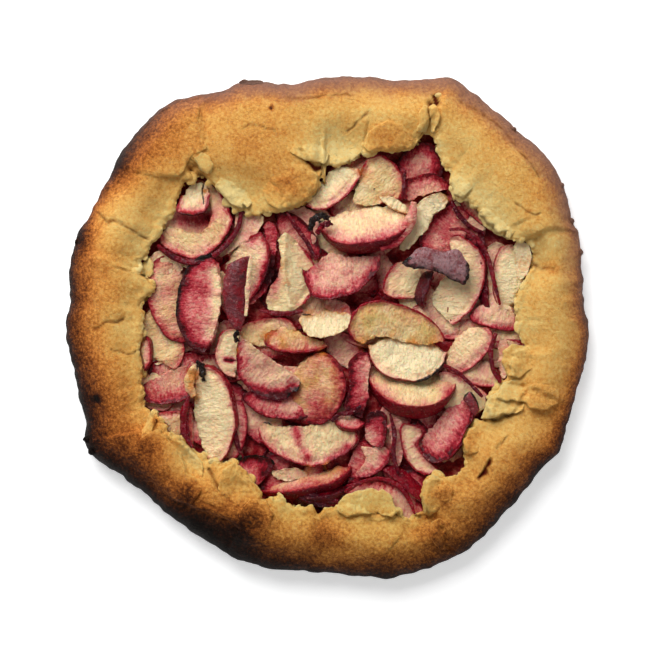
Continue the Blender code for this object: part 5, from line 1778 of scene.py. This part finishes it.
def lay_scrap(name, outline, lift, rosy, number):
    corners = np.array(outline, float)
    centre = corners.mean(axis=0)
    _, axes = np.linalg.eigh(np.cov((corners - centre).T))
    along, across = axes[:, 1], axes[:, 0]
    half = np.abs((corners - centre) @ along).max()
    wide = np.abs((corners - centre) @ across).max()
    tail, head = centre - along * half, centre + along * half
    spec = Slice(name, tuple(tail), tuple(head), wide, -wide, 34, 4, 2, lift, rosy)
    scrap = make_slice(spec, number, outline, SCRAP_THICK)
    scrap.name = name
    scrap.data.materials.append(nectarine)
    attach(scrap, "root")


for number, (name, outline, lift, rosy) in enumerate(SCRAPS, start=FIRST_SCRAP):
    lay_scrap(name, outline, lift, rosy, number)
print(len(SCRAPS), "scraps laid")

# %% [markdown]
# ## Peels
# A strip of skin is too thin to remesh. A flat grid is laid along its path, narrowed at both ends
# and arched, Solidify gives it a thickness, and subdivision rounds it.

# %% Peels
FIRST_PEEL = 240
PEEL_STEPS, PEEL_ROWS = 44, 6
PEEL_ARCH, PEEL_THICK = 0.18, 0.9
CURL_CRUMPLE, PEEL_CRUMPLE = 0.9, 0.2


def smooth_path(path, count):
    """Evenly spaced points on a soft curve through the path, and the way sideways at each."""
    corners = np.array(path, float)
    run = np.concatenate([[0.0], np.cumsum(np.hypot(*np.diff(corners, axis=0).T))])
    even = np.linspace(0.0, run[-1], count)
    line = np.stack([np.interp(even, run, corners[:, k]) for k in (0, 1)], axis=1)
    for _ in range(12):
        line[1:-1] = 0.5 * line[1:-1] + 0.25 * (line[:-2] + line[2:])
    way = np.gradient(line, axis=0)
    way /= np.linalg.norm(way, axis=1)[:, None]
    return line, np.stack([way[:, 1], -way[:, 0]], axis=1)


def peel_strip(name, path, width, lift, number):
    """The bare strip along its path, with a thickness but not yet crumpled."""
    deselect()
    bpy.ops.mesh.primitive_grid_add(x_subdivisions=PEEL_STEPS, y_subdivisions=PEEL_ROWS, size=2.0)
    peel = bpy.context.object
    peel.name = name
    start = points_of(peel) * MM
    step = np.rint((start[:, 0] + 1) / 2 * PEEL_STEPS).astype(int)
    row = start[:, 1]
    line, side = smooth_path(path, PEEL_STEPS + 1)
    taper = np.sin(math.pi * np.clip(step / PEEL_STEPS, 0.04, 0.96)) ** 0.5
    at = np.stack([step * 1.0, row * 4.0, 0 * row], axis=1)
    reach = width * taper * (1.0 + 0.35 * unevenness(at, 9, number)) * 0.5
    flat = line[step] + side[step] * (row * reach)[:, None]
    arch = PEEL_ARCH * width * (1.0 - row**2)
    height = BED_TOP + lift + arch + 1.2 * unevenness(at, 12, number + 0.4)
    move_points(peel, fit_to_case(np.concatenate([flat, height[:, None]], axis=1)))
    apply_modifier(peel, "SOLIDIFY", thickness=PEEL_THICK * MM, offset=-1.0)
    apply_modifier(peel, "SUBSURF", levels=1, render_levels=1)
    return peel


def lay_peel(name, path, width, lift, rosy, number):
    peel = peel_strip(name, path, width, lift, number)
    local = points_of(peel)
    crumple = CURL_CRUMPLE if name.startswith("curl") else PEEL_CRUMPLE
    world = local + normals_of(peel) * (crumple * unevenness(local, 1.8, number))[:, None]
    move_points(peel, world)
    spec = Slice(name, path[0], path[-1], 1, -1, 34, 0, 0, lift, rosy)
    depth = np.full(len(world), 3.0 if name in FLESHY else 0.0)
    keep_cooking(peel, spec, number, local, world, depth, np.zeros(len(world)))
    edit_all()
    face_outwards()
    bpy.ops.object.shade_smooth()
    peel.data.materials.append(nectarine)
    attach(peel, "root")


for number, (name, path, width, lift, rosy) in enumerate(PEELS, start=FIRST_PEEL):
    lay_peel(name, path, width, lift, rosy, number)
print(len(PEELS), "peels laid")

# %% [markdown]
# ## The bed of cooked fruit
# Between the slices the juice has boiled down to a dark, glossy jam with bits of fruit in it. It is
# a rolled sheet like the case: a flat foot, a short wall, and a lumpy top.

# %% Bed of fruit
BED_SPOKES, BED_RINGS = 420, 74
BED_LUMPS = ((1.0, 9, 41), (0.7, 4, 42), (0.4, 1.8, 43))
BED_FOOT = FLOOR + 0.2
JAM = (
    (0.32, tint(100, 1, 10)),
    (0.45, tint(136, 8, 22)),
    (0.56, tint(168, 50, 50)),
    (0.66, tint(192, 104, 88)),
    (0.78, tint(212, 152, 112)),
)


def shape_bed():
    bed, spoke, ring = flat_sheet("fruit_bed_jam", BED_SPOKES, BED_RINGS)
    bearings = math.tau * spoke / BED_SPOKES
    rim = outline_radius(TORN_EDGE, bearings, False) + 1.9
    share = np.clip((BED_RINGS - 1 - ring) / (BED_RINGS - 4), 0.0, 1.0)
    foot = [ring == 0, ring == 1, ring == 2]  # the middle of the foot, its edge, the top of the wall
    radius = np.select(foot, [0 * rim, rim, rim], rim * share)
    x, y = radius * np.cos(bearings), radius * np.sin(bearings)
    top = BED_TOP - 0.9 + layered(on_table(x, y), BED_LUMPS)
    level = 0 * top + BED_FOOT
    height = np.select(foot, [level, level, top - 2.0], top)
    move_points(bed, np.stack([x, y, np.maximum(height, BED_FOOT)], axis=1))
    close_sheet(bed)
    return bed


def jam_finish():
    jam = Finish("red_jam")
    clots = jam.grain(5.0, detail=5.0, rough=0.65)
    fine = jam.grain(1.0, detail=4.0, rough=0.7)
    colour = jam.ramp(jam.swayed(clots, fine, 0.35), *JAM)
    relief = jam.bump(fine, 0.5, 0.8)
    return jam.end(Base_Color=colour, Roughness=0.22, Normal=relief, Specular_IOR_Level=0.2)


bed = shape_bed()
bed.data.materials.append(jam_finish())
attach(bed, "root")
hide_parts("fruit_bed")
print("bed", len(bed.data.polygons), "faces")

# %% [markdown]
# ## Fruit lower in the heap
# More slices show only through the gaps. They are cooked the same way, from a seeded scatter of
# places, and sit low so that they never cover a slice of the table.

# %% Lower slices
LOWER_COUNT, LOWER_SEED = 64, 11
LOWER_APART = 13  # mm between the middles of two of them


def inside_case(x, y, margin):
    bearing = np.array([math.atan2(y, x) % math.tau])
    return math.hypot(x, y) < float(outline_radius(TORN_EDGE, bearing, False)[0]) - margin


def lower_row(number, x, y, heading, length, chance):
    """A row like those of the table, with its shape and its tilt drawn at random."""
    dx, dy = 0.5 * length * math.cos(heading), 0.5 * length * math.sin(heading)
    ruddy = chance.uniform(0.05, 0.55) + (0.2 if y < -60 else 0.0)
    return Slice(
        name=f"lower_slice_{number}",
        tail=(x - dx, y - dy),
        head=(x + dx, y + dy),
        skin=chance.uniform(8, 13),
        core=chance.uniform(-9, -4),
        wedge=36,
        roll=chance.uniform(-10, 14),
        pitch=chance.uniform(-4, 4),
        lift=chance.uniform(0.2, 1.6),
        rosy=ruddy,
    )


def lower_slices(count):
    chance = random.Random(LOWER_SEED)
    places, rows = [], []
    while len(rows) < count:
        x, y = chance.uniform(-100, 105), chance.uniform(-100, 100)
        heading, length = chance.uniform(0, math.tau), chance.uniform(24, 40)
        if not inside_case(x, y, 4):
            continue
        if any(math.hypot(x - u, y - v) < LOWER_APART for u, v in places):
            continue
        rows.append(lower_row(len(rows) + 1, x, y, heading, length, chance))
        places.append((x, y))
    return rows


for number, spec in enumerate(lower_slices(LOWER_COUNT), start=len(SLICES)):
    wedge = make_slice(spec, number)
    wedge.name = spec.name
    wedge.data.materials.append(nectarine)
    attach(wedge, "root")
print(LOWER_COUNT, "lower slices")
